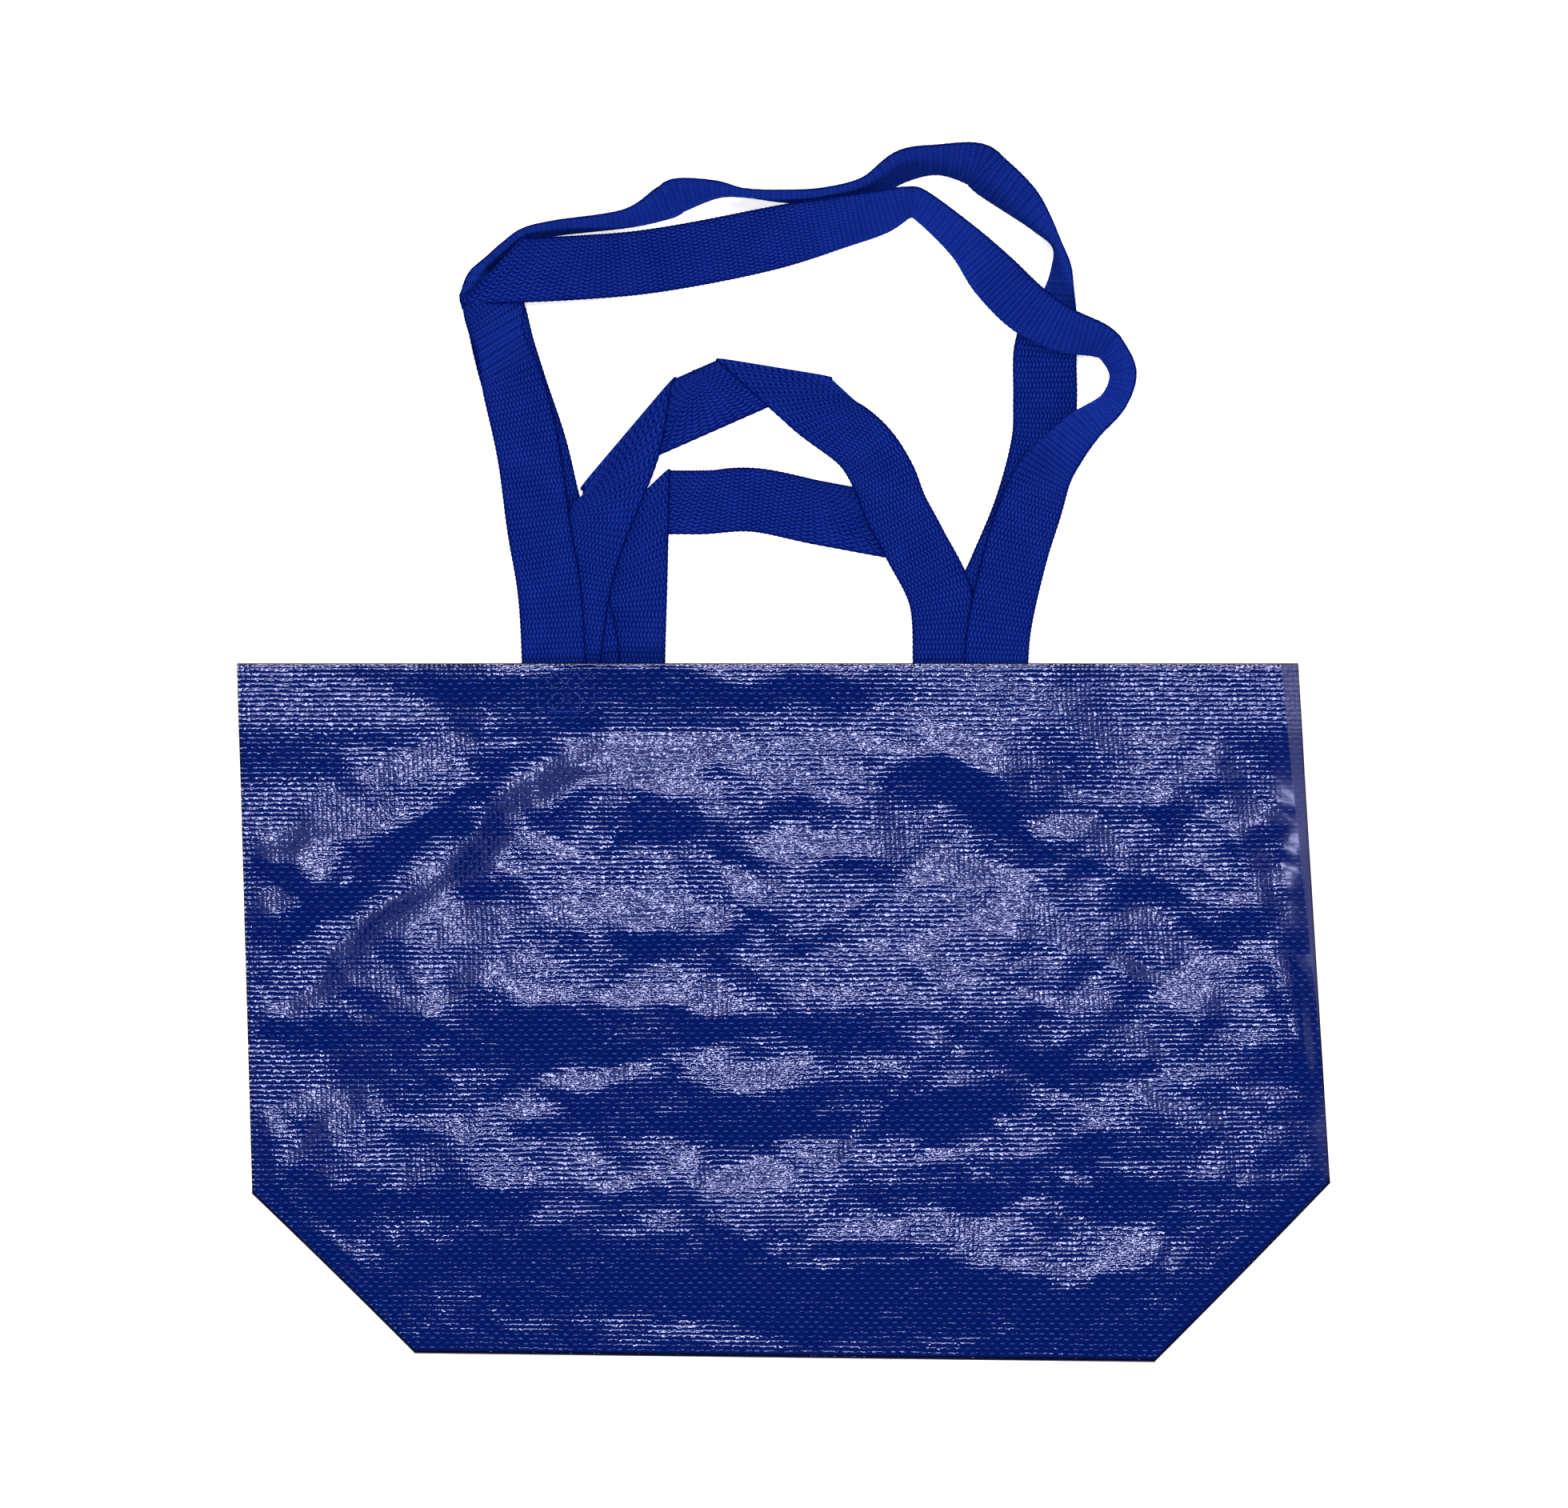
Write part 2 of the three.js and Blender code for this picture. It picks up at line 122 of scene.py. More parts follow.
class BagFinish(PropertyGroup):
    """Colours and surface of the materials"""

    fabric_colour: colour("Fabric", "Blue of the tape under the film", (0.0006, 0.006, 0.079))
    # Painted highlight: colour of the light dashes on the upper edge of each tape row, where the tape faces
    # the key lamp; the tape itself is one blue
    fabric_pale: colour("Fabric, pale", "Tape that shows through a milky film", (0.03, 0.06, 0.26))
    web_colour: colour("Webbing", "Blue of the webbing yarn", (0.0001, 0.0008, 0.057))
    # Painted highlight: colour of the yarn crowns as the lamps light them; the yarn itself is one blue
    web_pale: colour("Webbing, pale", "Yarn crowns of the webbing", (0.0075, 0.028, 0.26))
    # Painted reflection: violet shine of the lamps where the right edge rolls over
    roll_colour: colour("Rolled edge", "Violet shine where the right edge rolls over", (0.016, 0.019, 0.085))
    # Painted shade, not dirt: a dark line along the folded edges and the mouth, where the film turns away
    # from the light
    crease_colour: colour("Crease", "Dirt and shade along the folded edges", (0.0015, 0.002, 0.012))
    thread_colour: colour("Thread", "Sewing thread", (0.014, 0.034, 0.19))
    tape_pitch: length("Tape pitch", "Width of one woven tape", 2.3)
    weave_relief: length("Weave relief", "Height of the weave under the film", 0.105)


class BagStage(PropertyGroup):
    """Camera, floor and lamps"""

    floor_colour: colour("Floor", "Pale floor and backdrop", (0.8, 0.8, 0.8))
    camera_height: length("Camera height", "Above the floor", 4000)
    field_width: length("Field width", "Seen at the floor", 735)


# Small helpers for arrays

def smoothstep(value, low, high):
    t = np.clip((value - low) / (high - low), 0, 1)
    return t * t * (3 - 2 * t)


def lerp(start, end, t):
    return start + (end - start) * t


def unit(vectors):
    return vectors / np.maximum(np.linalg.norm(vectors, axis=-1, keepdims=True), 1e-12)


class Sheet:
    """Sheet of even thickness, built from rows of points on its middle surface with cloth coordinates"""

    def __init__(self):
        self.points = []
        self.cloth = []
        self.faces = []
        self.count = 0
        self.swell = 1.0

    def row(self, points, cloth):
        first = self.count
        self.points.append(points)
        self.cloth.append(cloth)
        self.count += len(points)
        return np.arange(first, self.count)

    def strips(self, rows):
        for row, following in zip(rows, rows[1:]):
            self.faces.append(np.stack([row[:-1], following[:-1], following[1:], row[1:]], axis=1))

    def offsets(self, points, triangles, half):
        """Half the thickness at every point, mitred so that both faces stay parallel at a fold"""
        mitre_limit = 1.5
        corners = points[triangles]
        normals = unit(np.cross(corners[:, 1] - corners[:, 0], corners[:, 2] - corners[:, 0]))
        sums = np.zeros_like(points)
        for i in range(3):
            ahead = unit(corners[:, (i + 1) % 3] - corners[:, i])
            behind = unit(corners[:, (i + 2) % 3] - corners[:, i])
            angle = np.arccos(np.clip((ahead * behind).sum(1), -1, 1))
            np.add.at(sums, triangles[:, i], normals * angle[:, None])
        sums = unit(sums)
        tightest = np.ones(len(points))
        for i in range(3):
            np.minimum.at(tightest, triangles[:, i], (normals * sums[triangles[:, i]]).sum(1))
        return sums * (half / np.maximum(tightest, 1 / mitre_limit))[:, None]

    def mesh(self, name, thickness):
        points = np.concatenate(self.points)
        cloth = np.concatenate(self.cloth)
        quads = np.concatenate(self.faces)
        triangles = np.concatenate([quads[:, [0, 1, 2]], quads[:, [0, 2, 3]]])
        distinct = (triangles != np.roll(triangles, 1, axis=1)).all(1)
        swell = np.broadcast_to(self.swell, self.count)[:, None]
        offsets = self.offsets(points, triangles[distinct], thickness / 2) * swell
        outer = points + offsets
        inner = points - offsets
        edges = np.stack([quads, np.roll(quads, -1, axis=1)], axis=2).reshape(-1, 2)
        edges = edges[edges[:, 0] != edges[:, 1]]
        codes = edges[:, 0] * self.count + edges[:, 1]
        reverse = edges[:, 1] * self.count + edges[:, 0]
        border = edges[~np.isin(codes, reverse)]
        start, end = border.T
        rim = np.stack([end, start, start + self.count, end + self.count], axis=1)
        faces = np.concatenate([quads, quads[:, ::-1] + self.count, rim])
        positions = np.concatenate([outer, inner])
        positions[:, 2] = np.maximum(positions[:, 2], 0)
        return mesh_object(name, positions, np.concatenate([cloth, cloth]), faces)


def mesh_object(name, positions, cloth, faces):
    """Smooth object with its cloth coordinates kept as a UV map in metres"""
    corners = [list(dict.fromkeys(face)) for face in faces.tolist()]
    mesh = bpy.data.meshes.new(name)
    mesh.from_pydata(positions.tolist(), [], corners)
    mesh.validate()
    loops = np.zeros(len(mesh.loops), np.int32)
    mesh.loops.foreach_get("vertex_index", loops)
    layer = mesh.uv_layers.new(name="cloth")
    layer.data.foreach_set("uv", cloth[loops].astype(np.float32).ravel())
    mesh.polygons.foreach_set("use_smooth", np.ones(len(mesh.polygons), bool))
    mesh.set_sharp_from_angle(angle=SHARP_ANGLE)
    made = bpy.data.objects.new(name, mesh)
    bpy.context.scene.collection.objects.link(made)
    return made


# The folded bag

# Folds of the front, each a line of points x, v in the flat bag in millimetres, x from the middle, v down
# from the mouth. Height is that of the crest, above and below are its reach to the mouth and to the bottom.
FRONT_FOLDS = [
    {"line": [(-187, 137), (-158, 160), (-104, 126), (-51, 122), (9, 119), (38, 143), (74, 170), (101, 163),
              (131, 167), (156, 189), (185, 211), (215, 204), (238, 176)],
     "height": 3.2, "above": 75, "below": 45},
    {"line": [(-112, 40), (-172, 88), (-232, 140)], "height": -2.8, "above": 14, "below": 16},
    {"line": [(-100, 58), (-160, 104), (-222, 152)], "height": 1.0, "above": 9, "below": 12},
    {"line": [(30, 226), (52, 208), (100, 196)], "height": 1.5, "above": 6, "below": 18},
    {"line": [(-190, 278), (-100, 280), (-10, 276)], "height": 3.4, "above": 60, "below": 38},
    {"line": [(204, 24), (222, 92), (247, 196)], "height": 1.5, "above": 9, "below": 7},
    {"line": [(-238, 245), (0, 245), (238, 245)], "height": 0.5, "above": 5, "below": 5, "power": 1.3},
]

# Slack patches of the film: x, v of the middle, half length, half height, turn in degrees, and how far the
# lower side stands above the upper side.
SLACK_PATCHES = [
    (-23, 47, 50, 16, 0, 0.4), (-50, 98, 85, 22, 0, 1.2), (24, 90, 45, 26, 10, 1.2),
    (78, 116, 50, 26, 15, 0.4), (158, 134, 60, 34, 10, 1.4), (204, 156, 28, 34, 0, 1.2),
    (182, 22, 55, 18, 0, 0.5), (98, 17, 45, 12, 0, 0.3), (120, 58, 22, 11, 35, 1.0),
    (-156, 128, 22, 34, -20, 2.2), (-203, 58, 18, 34, -25, 1.5), (-222, 17, 24, 12, 0, 0.7),
    (-83, 45, 30, 11, -10, 0.8), (66, 272, 42, 17, 8, 2.6), (96, 227, 40, 13, -15, 1.9),
    (42, 228, 36, 10, -10, 1.5), (168, 186, 30, 24, 10, 2.6), (-83, 190, 22, 8, 0, 1.1),
    (-20, 190, 20, 9, 0, 1.3), (-37, 154, 25, 8, 0, 0.9), (-149, 212, 14, 22, -10, 2.0),
    (8, 156, 25, 11, 0, 1.2), (-112, 291, 15, 7, 0, 1.1), (-205, 276, 12, 12, 0, 1.8),
    (152, 276, 20, 11, 0, 1.8), (-45, 259, 9, 5, -30, 0.8), (4, 260, 9, 5, 0, 0.8),
    (94, 63, 32, 14, 38, -3.4), (152, 103, 22, 8, 20, -0.9), (-79, 73, 45, 6, 4, -0.7),
    (-27, 77, 30, 5, 8, -0.6), (-48, 133, 60, 11, 0, -1.1), (-84, 171, 42, 14, 4, -1.2),
    (115, 182, 45, 15, 5, -1.6), (29, 175, 30, 13, 20, -1.2), (-98, 17, 60, 13, 0, -0.8),
    (-181, 103, 25, 9, -25, -1.0), (-203, 175, 20, 28, 10, -0.4), (-33, 218, 60, 12, 0, -1.2),
    (-8, 62, 12, 7, 10, -0.8), (40, 30, 30, 8, 0, -0.5), (-20, 285, 90, 20, 0, -0.8),
    (-98, 14, 62, 14, 0, -6.0), (185, 205, 35, 30, 10, 2.6), (88, 266, 45, 18, 5, 3.0),
    (-188, 100, 55, 11, -39, -3.8), (-141, 196, 14, 34, -8, 3.4), (-215, 198, 25, 34, 0, 3.5),
    (-45, 92, 70, 20, 0, -1.0), (20, 14, 48, 12, 0, -3.5), (-70, 258, 85, 28, 0, -2.6),
    (195, 246, 45, 30, 0, 3.6), (215, 50, 20, 16, 0, 2.0), (165, 108, 25, 10, 0, 1.0),
    (-60, 205, 70, 38, 0, -4.5), (-225, 80, 16, 30, 0, 2.4), (-128, 176, 24, 14, 0, -1.6),
    (-75, 80, 30, 6, 4, -1.2), (22, 70, 14, 9, 40, -1.6), (-15, 52, 25, 7, 5, -1.1),
    (2, 213, 34, 11, -12, -1.8), (-170, 132, 34, 26, 0, 1.2), (-20, 72, 70, 30, 0, -2.4),
    (-88, 191, 17, 8, 5, 2.0), (-22, 186, 15, 9, -10, 2.0), (-90, 289, 80, 14, 0, -2.2),
    (60, 132, 80, 26, 0, -1.0), (224, 15, 16, 12, 0, -1.8),
]


def line_distance(x, v, line):
    """Distance from a line of points, and which side of it: above, towards the mouth, or below"""
    nearest = np.full(x.shape, np.inf)
    below = np.zeros(x.shape, bool)
    for (x0, v0), (x1, v1) in zip(line, line[1:]):
        reach = (x1 - x0) ** 2 + (v1 - v0) ** 2
        along = np.clip(((x - x0) * (x1 - x0) + (v - v0) * (v1 - v0)) / reach, 0, 1)
        dx = x - lerp(x0, x1, along)
        dv = v - lerp(v0, v1, along)
        distance = np.hypot(dx, dv)
        side = np.sign(x1 - x0) * ((x1 - x0) * dv - (v1 - v0) * dx) > 0
        closer = distance < nearest
        nearest = np.where(closer, distance, nearest)
        below = np.where(closer, side, below)
    return nearest, below


HANDLE_MARGIN = 4 * MM


class FoldedBag:
    """Layer heights and plan of the lying bag, in metres"""

    def __init__(self, sizes):
        self.s = sizes
        self.half_width = sizes.bag_width / 2
        self.half_depth = sizes.bag_depth / 2
        self.strip_end = sizes.panel_height + self.half_depth
        self.ply = sizes.fabric + sizes.ply_gap
        self.web_ply = sizes.web_thickness + sizes.ply_gap
        self.web_base = sizes.web_floor_gap + sizes.web_thickness / 2
        self.sewn_base = self.level(1) + sizes.fabric / 2 + sizes.ply_gap + sizes.web_thickness / 2
        pile = len(HANDLES) * self.web_ply
        self.mouth_top = self.sewn_base - sizes.web_thickness / 2 + pile + sizes.fabric / 2 + self.ply
        reach = max(abs(x) for handle in HANDLES for x in handle["sewn"]) * MM
        self.handle_zone = reach + sizes.web_width / 2 + HANDLE_MARGIN
        low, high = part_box("main_panel")
        self.mouth = np.array([low.x + self.half_width - sizes.mouth_draw,
                               high.y - self.ply / 2 - sizes.fabric / 2])
        self.crumples = [Crumple(sizes.crumple_seed + i, facet, share * (sizes.crumple / MM), shape)
                         for i, (facet, share, shape) in enumerate(CRUMPLE_LAYERS)]

    def level(self, ply):
        return self.s.fabric / 2 + ply * (self.s.fabric + self.s.ply_gap)

    def lay(self, x, v, z):
        """Place of points of the folded bag, x across from the middle and v down from the mouth"""
        s = self.s
        x, v, z = np.broadcast_arrays(np.asarray(x, float), np.asarray(v, float), np.asarray(z, float))
        down = np.clip(v / s.panel_height, 0, 1)
        past = np.clip((v - s.panel_height) / self.half_depth, 0, 1)
        side = x / self.half_width
        drawn = x - side * s.mouth_draw * (1 - down)
        shift = lerp(s.fold_shift * down, s.bottom_shift, past)
        tilt = lerp(s.fold_tilt * down, s.bottom_tilt, past)
        return np.stack([self.mouth[0] + drawn + shift, self.mouth[1] + side * tilt - v, z], axis=-1)

    def hem_rise(self, v):
        """1 at the hem, where eight plies lie on each other, and 0 below it"""
        return 1 - smoothstep(v, self.s.hem_depth + self.ply, self.s.hem_depth + self.s.hem_slope)

    def front_height(self, x, v):
        """Height of the front's middle surface above the table, along one row"""
        s = self.s
        across = np.abs(x)
        from_seam = self.half_width - across
        from_side = np.minimum(from_seam, (from_seam + s.panel_height - v) * SQRT_HALF)
        from_edge = np.maximum(np.minimum(from_side, self.strip_end - v), 0)
        hem = self.hem_rise(v)
        zone = 1 - smoothstep(across, self.handle_zone, self.half_width - self.half_depth)
        mouth = (self.mouth_top - self.level(7)) * zone
        rise = smoothstep(np.minimum(from_side / 2, self.strip_end - v), 0, s.loft_reach)
        loft = (s.panel_loft - s.panel_sag * (1 - (2 * v / self.strip_end - 1) ** 2)) * rise
        folds = sum(fold_height(x / MM, v / MM, fold) for fold in FRONT_FOLDS) * MM
        facets = sum(crumple.height(x / MM, v / MM) for crumple in self.crumples) * MM
        edge = smoothstep(from_edge, 0, s.edge_roll)
        body = np.maximum(hem * mouth + (1 - hem) * (loft + folds * edge), 0)
        film = facets * edge * (1 - 0.5 * hem)
        return self.level(3 + 4 * hem) + np.maximum(body + film, 0)


def fold_height(x, v, fold):
    distance, below = line_distance(x, v, fold["line"])
    reach = np.where(below, fold["below"], fold["above"])
    return fold["height"] * np.exp(-(distance / reach) ** fold.get("power", 2))


def patch_height(x, v, patch):
    middle_x, middle_v, half_length, half_height, turn, rise = patch
    turn = radians(turn)
    along = ((x - middle_x) * np.cos(turn) + (v - middle_v) * np.sin(turn)) / half_length
    across = ((v - middle_v) * np.cos(turn) - (x - middle_x) * np.sin(turn)) / half_height
    return rise * across * np.exp(-(along ** 2 + across ** 2) / 2)


def slack_height(x, v):
    return sum(patch_height(x, v, patch) for patch in SLACK_PATCHES)


# Facets from coarse to fine: width and height in millimetres, share of the rise, and the form they follow
CRUMPLE_LAYERS = [((34, 24), 1.7, None), ((17, 12), 1.0, slack_height), ((8, 6), 0.4, None)]
CRUMPLE_ACROSS = (-290, 290)
CRUMPLE_DOWN = (-30, 360)
CORNER_SCATTER = 0.42


class Crumple:
    """Flat facets between random corners of the front and bottom, in millimetres"""

    def __init__(self, seed, facet, rise, shape):
        rng = np.random.default_rng(seed)
        self.facet = np.array(facet)
        across = np.arange(*CRUMPLE_ACROSS, facet[0]) / facet[0]
        down = np.arange(*CRUMPLE_DOWN, facet[1]) / facet[1]
        grid = np.stack(np.meshgrid(across, down), axis=-1)
        grid[1::2, :, 0] += 0.5
        corners = grid.reshape(-1, 2)
        corners = corners + rng.uniform(-CORNER_SCATTER, CORNER_SCATTER, corners.shape)
        heights = rise * rng.normal(size=len(corners))
        if shape:
            heights += shape(*(corners * self.facet).T)
        faces = np.array(delaunay_2d_cdt([Vector(corner) for corner in corners], [], [], 0, 1e-6)[2])
        self.corners = corners[faces]
        edges = self.corners[:, 1:] - self.corners[:, :1]
        self.inverse = np.linalg.inv(edges.transpose(0, 2, 1))
        self.heights = heights[faces]

    def height(self, x, v):
        """Heights along one row of points, x across and v the same all along"""
        places = np.column_stack([x, np.full_like(x, v)]) / self.facet
        down = self.corners[:, :, 1]
        near = (down.min(axis=1) <= places[0, 1]) & (down.max(axis=1) >= places[0, 1])
        shares = np.einsum("fij,pfj->pfi", self.inverse[near], places[:, None] - self.corners[near, 0])
        inside = np.minimum(shares.min(axis=2), 1 - shares.sum(axis=2)).argmax(axis=1)
        second, third = shares[np.arange(len(x)), inside].T
        a, b, c = self.heights[near][inside].T
        return a + second * (b - a) + third * (c - a)


TURN_STEPS = np.radians([-60, -30, 0, 30, 60])
BACK_ROWS = 12
GUSSET_CELLS = 25
GUSSET_ROWS = 50
GUSSET_HEM_ROWS = 8


def main_panel(bag):
    """Front, bottom and back in one piece, from the front hem round the bottom to the back hem"""
    s = bag.s
    sheet = Sheet()
    columns = np.linspace(-1, 1, round(s.bag_width / s.panel_cell) + 1)
    hem_rows = np.linspace(0, s.hem_depth, round(s.hem_depth / s.panel_cell))
    below_hem = s.panel_height - s.hem_depth
    front_rows = np.linspace(s.hem_depth, s.panel_height, round(below_hem / s.panel_cell))
    bottom_rows = np.linspace(0, bag.half_depth, round(bag.half_depth / s.panel_cell))
    back_rows = np.linspace(s.panel_height, 0, BACK_ROWS)
    half_ply = bag.ply / 2

    def cloth(x, strip):
        return np.stack(np.broadcast_arrays(x, strip), axis=-1).astype(float)

    def row(v, height, strip):
        x = columns * bag.half_width
        return sheet.row(bag.lay(x, v, height(x)), cloth(x, strip))

    def level_row(v, z, strip):
        return row(v, lambda x: np.full_like(x, z), strip)

    def front_row(v, drop, strip):
        return row(v, lambda x: bag.front_height(x, max(v, 0)) - drop, strip)

    front = [front_row(v, bag.ply, -v) for v in hem_rows[::-1]]
    front += [front_row(-half_ply * np.cos(a), half_ply * (1 - np.sin(a)), 0) for a in TURN_STEPS]
    front += [front_row(v, 0, v) for v in [*hem_rows, *front_rows[1:]]]
    round_trip = 2 * bag.strip_end
    back = [level_row(v, bag.level(0), round_trip - v) for v in back_rows]
    back += [level_row(-half_ply * np.cos(a), bag.level(0.5) + half_ply * np.sin(a), round_trip)
             for a in TURN_STEPS]
    back += [level_row(v, bag.level(1), round_trip + v) for v in hem_rows]
    sheet.strips(front)
    sheet.strips(back)

    # A bottom row runs up one tucked corner, round its 45 degree fold, across, and down the other corner
    flap_steps = np.linspace(0, 1, len(bottom_rows))

    def corner(side, depth, flap_ply, fold_ply, swell, strip):
        edge = side * (bag.half_width - depth)
        turn = half_ply * SQRT_HALF
        flap = bag.lay(edge - side * swell, s.panel_height + depth * flap_steps, bag.level(flap_ply))
        fold = bag.lay(edge + side * turn, s.panel_height + depth + turn, bag.level(fold_ply))
        points = np.concatenate([flap, fold[None]])
        flat = side * (bag.half_width - depth * np.append(flap_steps, 1))
        return points[::-side], cloth(flat, strip)[::-side]

    def bottom_row(depth, plies, height, strip, v, swell=0):
        x = columns * (bag.half_width - depth)
        left = corner(-1, depth, *plies, swell, strip)
        right = corner(1, depth, *plies, swell, strip)
        middle = (bag.lay(x, v, height(x)), cloth(x, strip))
        return sheet.row(*(np.concatenate(parts) for parts in zip(left, middle, right)))

    def tip_row(plies, main):
        left = sheet.row(*(part[[0, -1]] for part in corner(-1, 0, *plies, 0, s.panel_height)))
        right = sheet.row(*(part[[0, -1]] for part in corner(1, 0, *plies, 0, s.panel_height)))
        count = len(flap_steps)
        return np.concatenate([[left[0]] * count, [left[1]], main, [right[0]], [right[1]] * count])

    over, under = (2, 2.5), (1, 0.5)
    rows = [tip_row(over, front[-1])]
    for depth in bottom_rows[1:]:
        v = s.panel_height + depth
        rows.append(bottom_row(depth, over, lambda x: bag.front_height(x, v), v, v))
    radius = 1.5 * bag.ply
    for a in TURN_STEPS[::-1]:
        plies = (1.5 + 0.5 * np.sin(a), 1.5 + np.sin(a))
        z = bag.level(1.5) + radius * np.sin(a)
        rows.append(bottom_row(bag.half_depth, plies, lambda x: np.full_like(x, z), bag.strip_end,
                               bag.strip_end + radius * np.cos(a), half_ply * np.cos(a)))
    for depth in bottom_rows[:0:-1]:
        v = s.panel_height + depth
        rows.append(bottom_row(depth, under, lambda x: np.full_like(x, bag.level(0)), round_trip - v, v))
    rows.append(tip_row(under, back[0]))
    sheet.strips(rows)
    return sheet.mesh("bag_body", s.fabric)


def gusset(bag, side, name):
    """Side gusset: a V folded inward, its hem turned to the inside of the bag"""
    s = bag.s
    sheet = Sheet()
    outer = bag.half_width - s.ply_gap
    inner = bag.half_width - bag.half_depth
    cells = np.linspace(0, 1, GUSSET_CELLS)
    half_ply = bag.ply / 2

    def row(v, turn, strip):
        rise = 2 * bag.hem_rise(np.array(max(v, 0.0)))
        fold = inner - turn * bag.ply
        arc = half_ply * (1 + 2 * turn)
        around = TURN_STEPS[::-1]
        inward, outward = lerp(outer, fold, cells), lerp(fold, outer, cells)
        x = np.concatenate([inward, fold - half_ply * np.cos(around), outward])
        z = np.concatenate([np.full(GUSSET_CELLS, bag.level(2 + rise + turn)),
                            bag.level(1.5 + rise) + arc * np.sin(around),
                            np.full(GUSSET_CELLS, bag.level(1 + rise - turn))])
        flat = np.concatenate([outer - inward, np.full(len(around), outer - fold),
                               outer - 2 * fold + outward])
        return sheet.row(bag.lay(side * x, v, z), np.stack([flat, np.full_like(flat, strip)], axis=-1))

    seam = s.panel_height - s.ply_gap
    rows = [row(v, 0, v) for v in np.linspace(seam, 0, GUSSET_ROWS)]
    rows += [row(-half_ply, 0.5, 0)]
    rows += [row(v, 1, -v) for v in np.linspace(0, s.hem_depth, GUSSET_HEM_ROWS)]
    sheet.strips(rows if side > 0 else rows[::-1])
    return sheet.mesh(name, s.fabric)


# The handles

# Stack is the place in the pile at the mouth from the back, sewn gives the two sewn ends in x. A station is x
# from its sewn end, distance out from the mouth, webbing layers under its lower edge, and the lean in degrees
# that lifts the edge on the left of the way round. A new run starts at each flat fold. Millimetres.
HANDLES = [
    {
        "name": "long_handle_front", "stack": 3, "sewn": (-100, 107),
        "runs": [
            {"left": [(-2, 34, 4.2, 0), (-7, 64, 3.4, 0), (-12, 100, 2.2, 0), (-19, 130, 2, 16),
                      (-26, 154, 3, 40), (-27, 183, 13, 0)]},
            {"left": [(-27, 183, 14, 0), (10, 185, 9.6, 0), (40, 188, 3, 0), (70, 193, 0, 4),
                      (100, 199, 0, 15)],
             "right": [(-76, 206, 0, 38), (-55, 211, 0, 50), (-42, 215.5, 0, 64), (-35, 214, 0, 66),
                       (-15, 197, 0, 58), (-1, 181, 2.5, 42), (14, 166, 5.5, 40), (30, 156, 8.5, 48),
                       (47, 151, 5.5, 61), (54, 146, 2.5, 67), (59, 135, 0, 68), (54, 122, 0.6, 66),
                       (41, 111, 1.3, 56), (31, 100, 1.6, 47), (22, 88, 1.8, 31), (15, 70, 2.2, 10),
                       (9, 51, 2.6, 0), (2, 21, 4.1, 0)]},
        ],
    },
    {
        "name": "long_handle_back", "stack": 1, "sewn": (-84, 92),
        "runs": [
            {"left": [(-2, 16, 2, 0), (-8, 39, 2, 0), (-18, 73, 0.3, 0), (-25, 102, 0, 0), (-34, 129, 0, 4),
                      (-39.5, 148, 0, 15), (-43.5, 165, 0, 20), (-47.5, 175.5, 0, 30), (-48.6, 183.8, 0, 77),
                      (-38, 193.3, 0, 79), (-29, 200, 0, 80), (-15, 203.5, 0, 80), (18, 208, 0, 77),
                      (36, 215.5, 0, 62), (43, 219, 0, 62), (60, 221.5, 0, 78), (73, 220, 0, 86)],
             "right": [(-86, 218.5, 0, 83), (-66, 218.5, 0, 79), (-46, 222, 0, 72), (-29, 232.5, 0, 64),
                       (-12, 235.5, 0, 66), (5, 233.5, 0, 52), (12.5, 228, 0, 50), (26.5, 216.5, 0, 59),
                       (36, 206, 0, 73), (43, 196, 0, 84), (45, 185, 0, 74), (44, 174, 0, 63),
                       (41, 161, 0, 38), (38, 146, 0, 10), (38, 125, 0, 3), (37, 103, 0, 0),
                       (29, 73, 0.3, 0), (17, 44, 2, 0), (13, 35, 2, 0), (7, 18, 1.9, 0)]},
        ],
    },
    {
        "name": "short_handle_front", "stack": 2, "sewn": (-93, 83),
        "runs": [
            {"left": [(4, 32, 3, 0), (10, 56, 2.6, 0), (23, 89, 2.2, 0), (28, 108, 1.4, 0)]},
            {"left": [(28, 108, 0.4, 0)], "right": [(-80, 138, 0, 0)]},
            {"right": [(-80, 138, 1, 0), (-58, 118, 0.6, 16), (-39, 103, 0.9, 18), (-29, 88, 2.1, 8),
                       (-23, 73, 2.2, 0), (-14, 56, 2.5, 0), (-2, 31, 3, 0)]},
        ],
    },
    {
        "name": "short_handle_back", "stack": 0, "sewn": (-63, 86),
        "runs": [
            {"left": [(1, 35, 1, 0), (2, 76, 1, 0)]},
            {"left": [(2, 76, 0, 0), (32, 76, 0, 0), (57, 77, 0, 0)],
             "right": [(-62, 71, 0, 0), (-19, 63, 0, 0)]},
            {"right": [(-19, 63, 1, 0), (-5, 31, 1, 0)]},
        ],
    },
]

WEB_STEP = 0.7
WEB_COLUMNS = 17
WEB_YARN = 1.75 * MM
WEB_REPEAT = 4.8 * MM
WEB_EDGE = (13.4 * MM, 14.6 * MM)
SCALLOP = 0.008
RIB_SWELL = 0.1
EDGE_THINNING = 0.55
EDGE_POWER = 12
FOLD_EASE = 1.8


def walk(stations):
    """Even steps along one run of webbing, smooth through its stations"""
    padded = np.array([stations[0], *stations, stations[-1]], float)
    places = []
    for a, b, c, d in zip(padded, padded[1:], padded[2:], padded[3:]):
        count = max(round(np.hypot(*(c - b)[:2]) / WEB_STEP), 1)
        t = np.arange(count)[:, None] / count
        places.append(0.5 * (2 * b + (c - a) * t + (2 * a - 5 * b + 4 * c - d) * t ** 2
                             + (3 * b - a - 3 * c + d) * t ** 3))
    path = np.concatenate([*places, padded[-1:]])
    path[:, 2] = np.maximum(path[:, 2], 0)
    return path


def headings(path):
    """Unit directions along a path in plan, and their left sides"""
    ahead = np.concatenate([path[1:2] - path[:1], path[2:] - path[:-2], path[-1:] - path[-2:-1]])[:, :2]
    ahead = unit(ahead)
    return ahead, np.stack([-ahead[:, 1], ahead[:, 0]], axis=1)


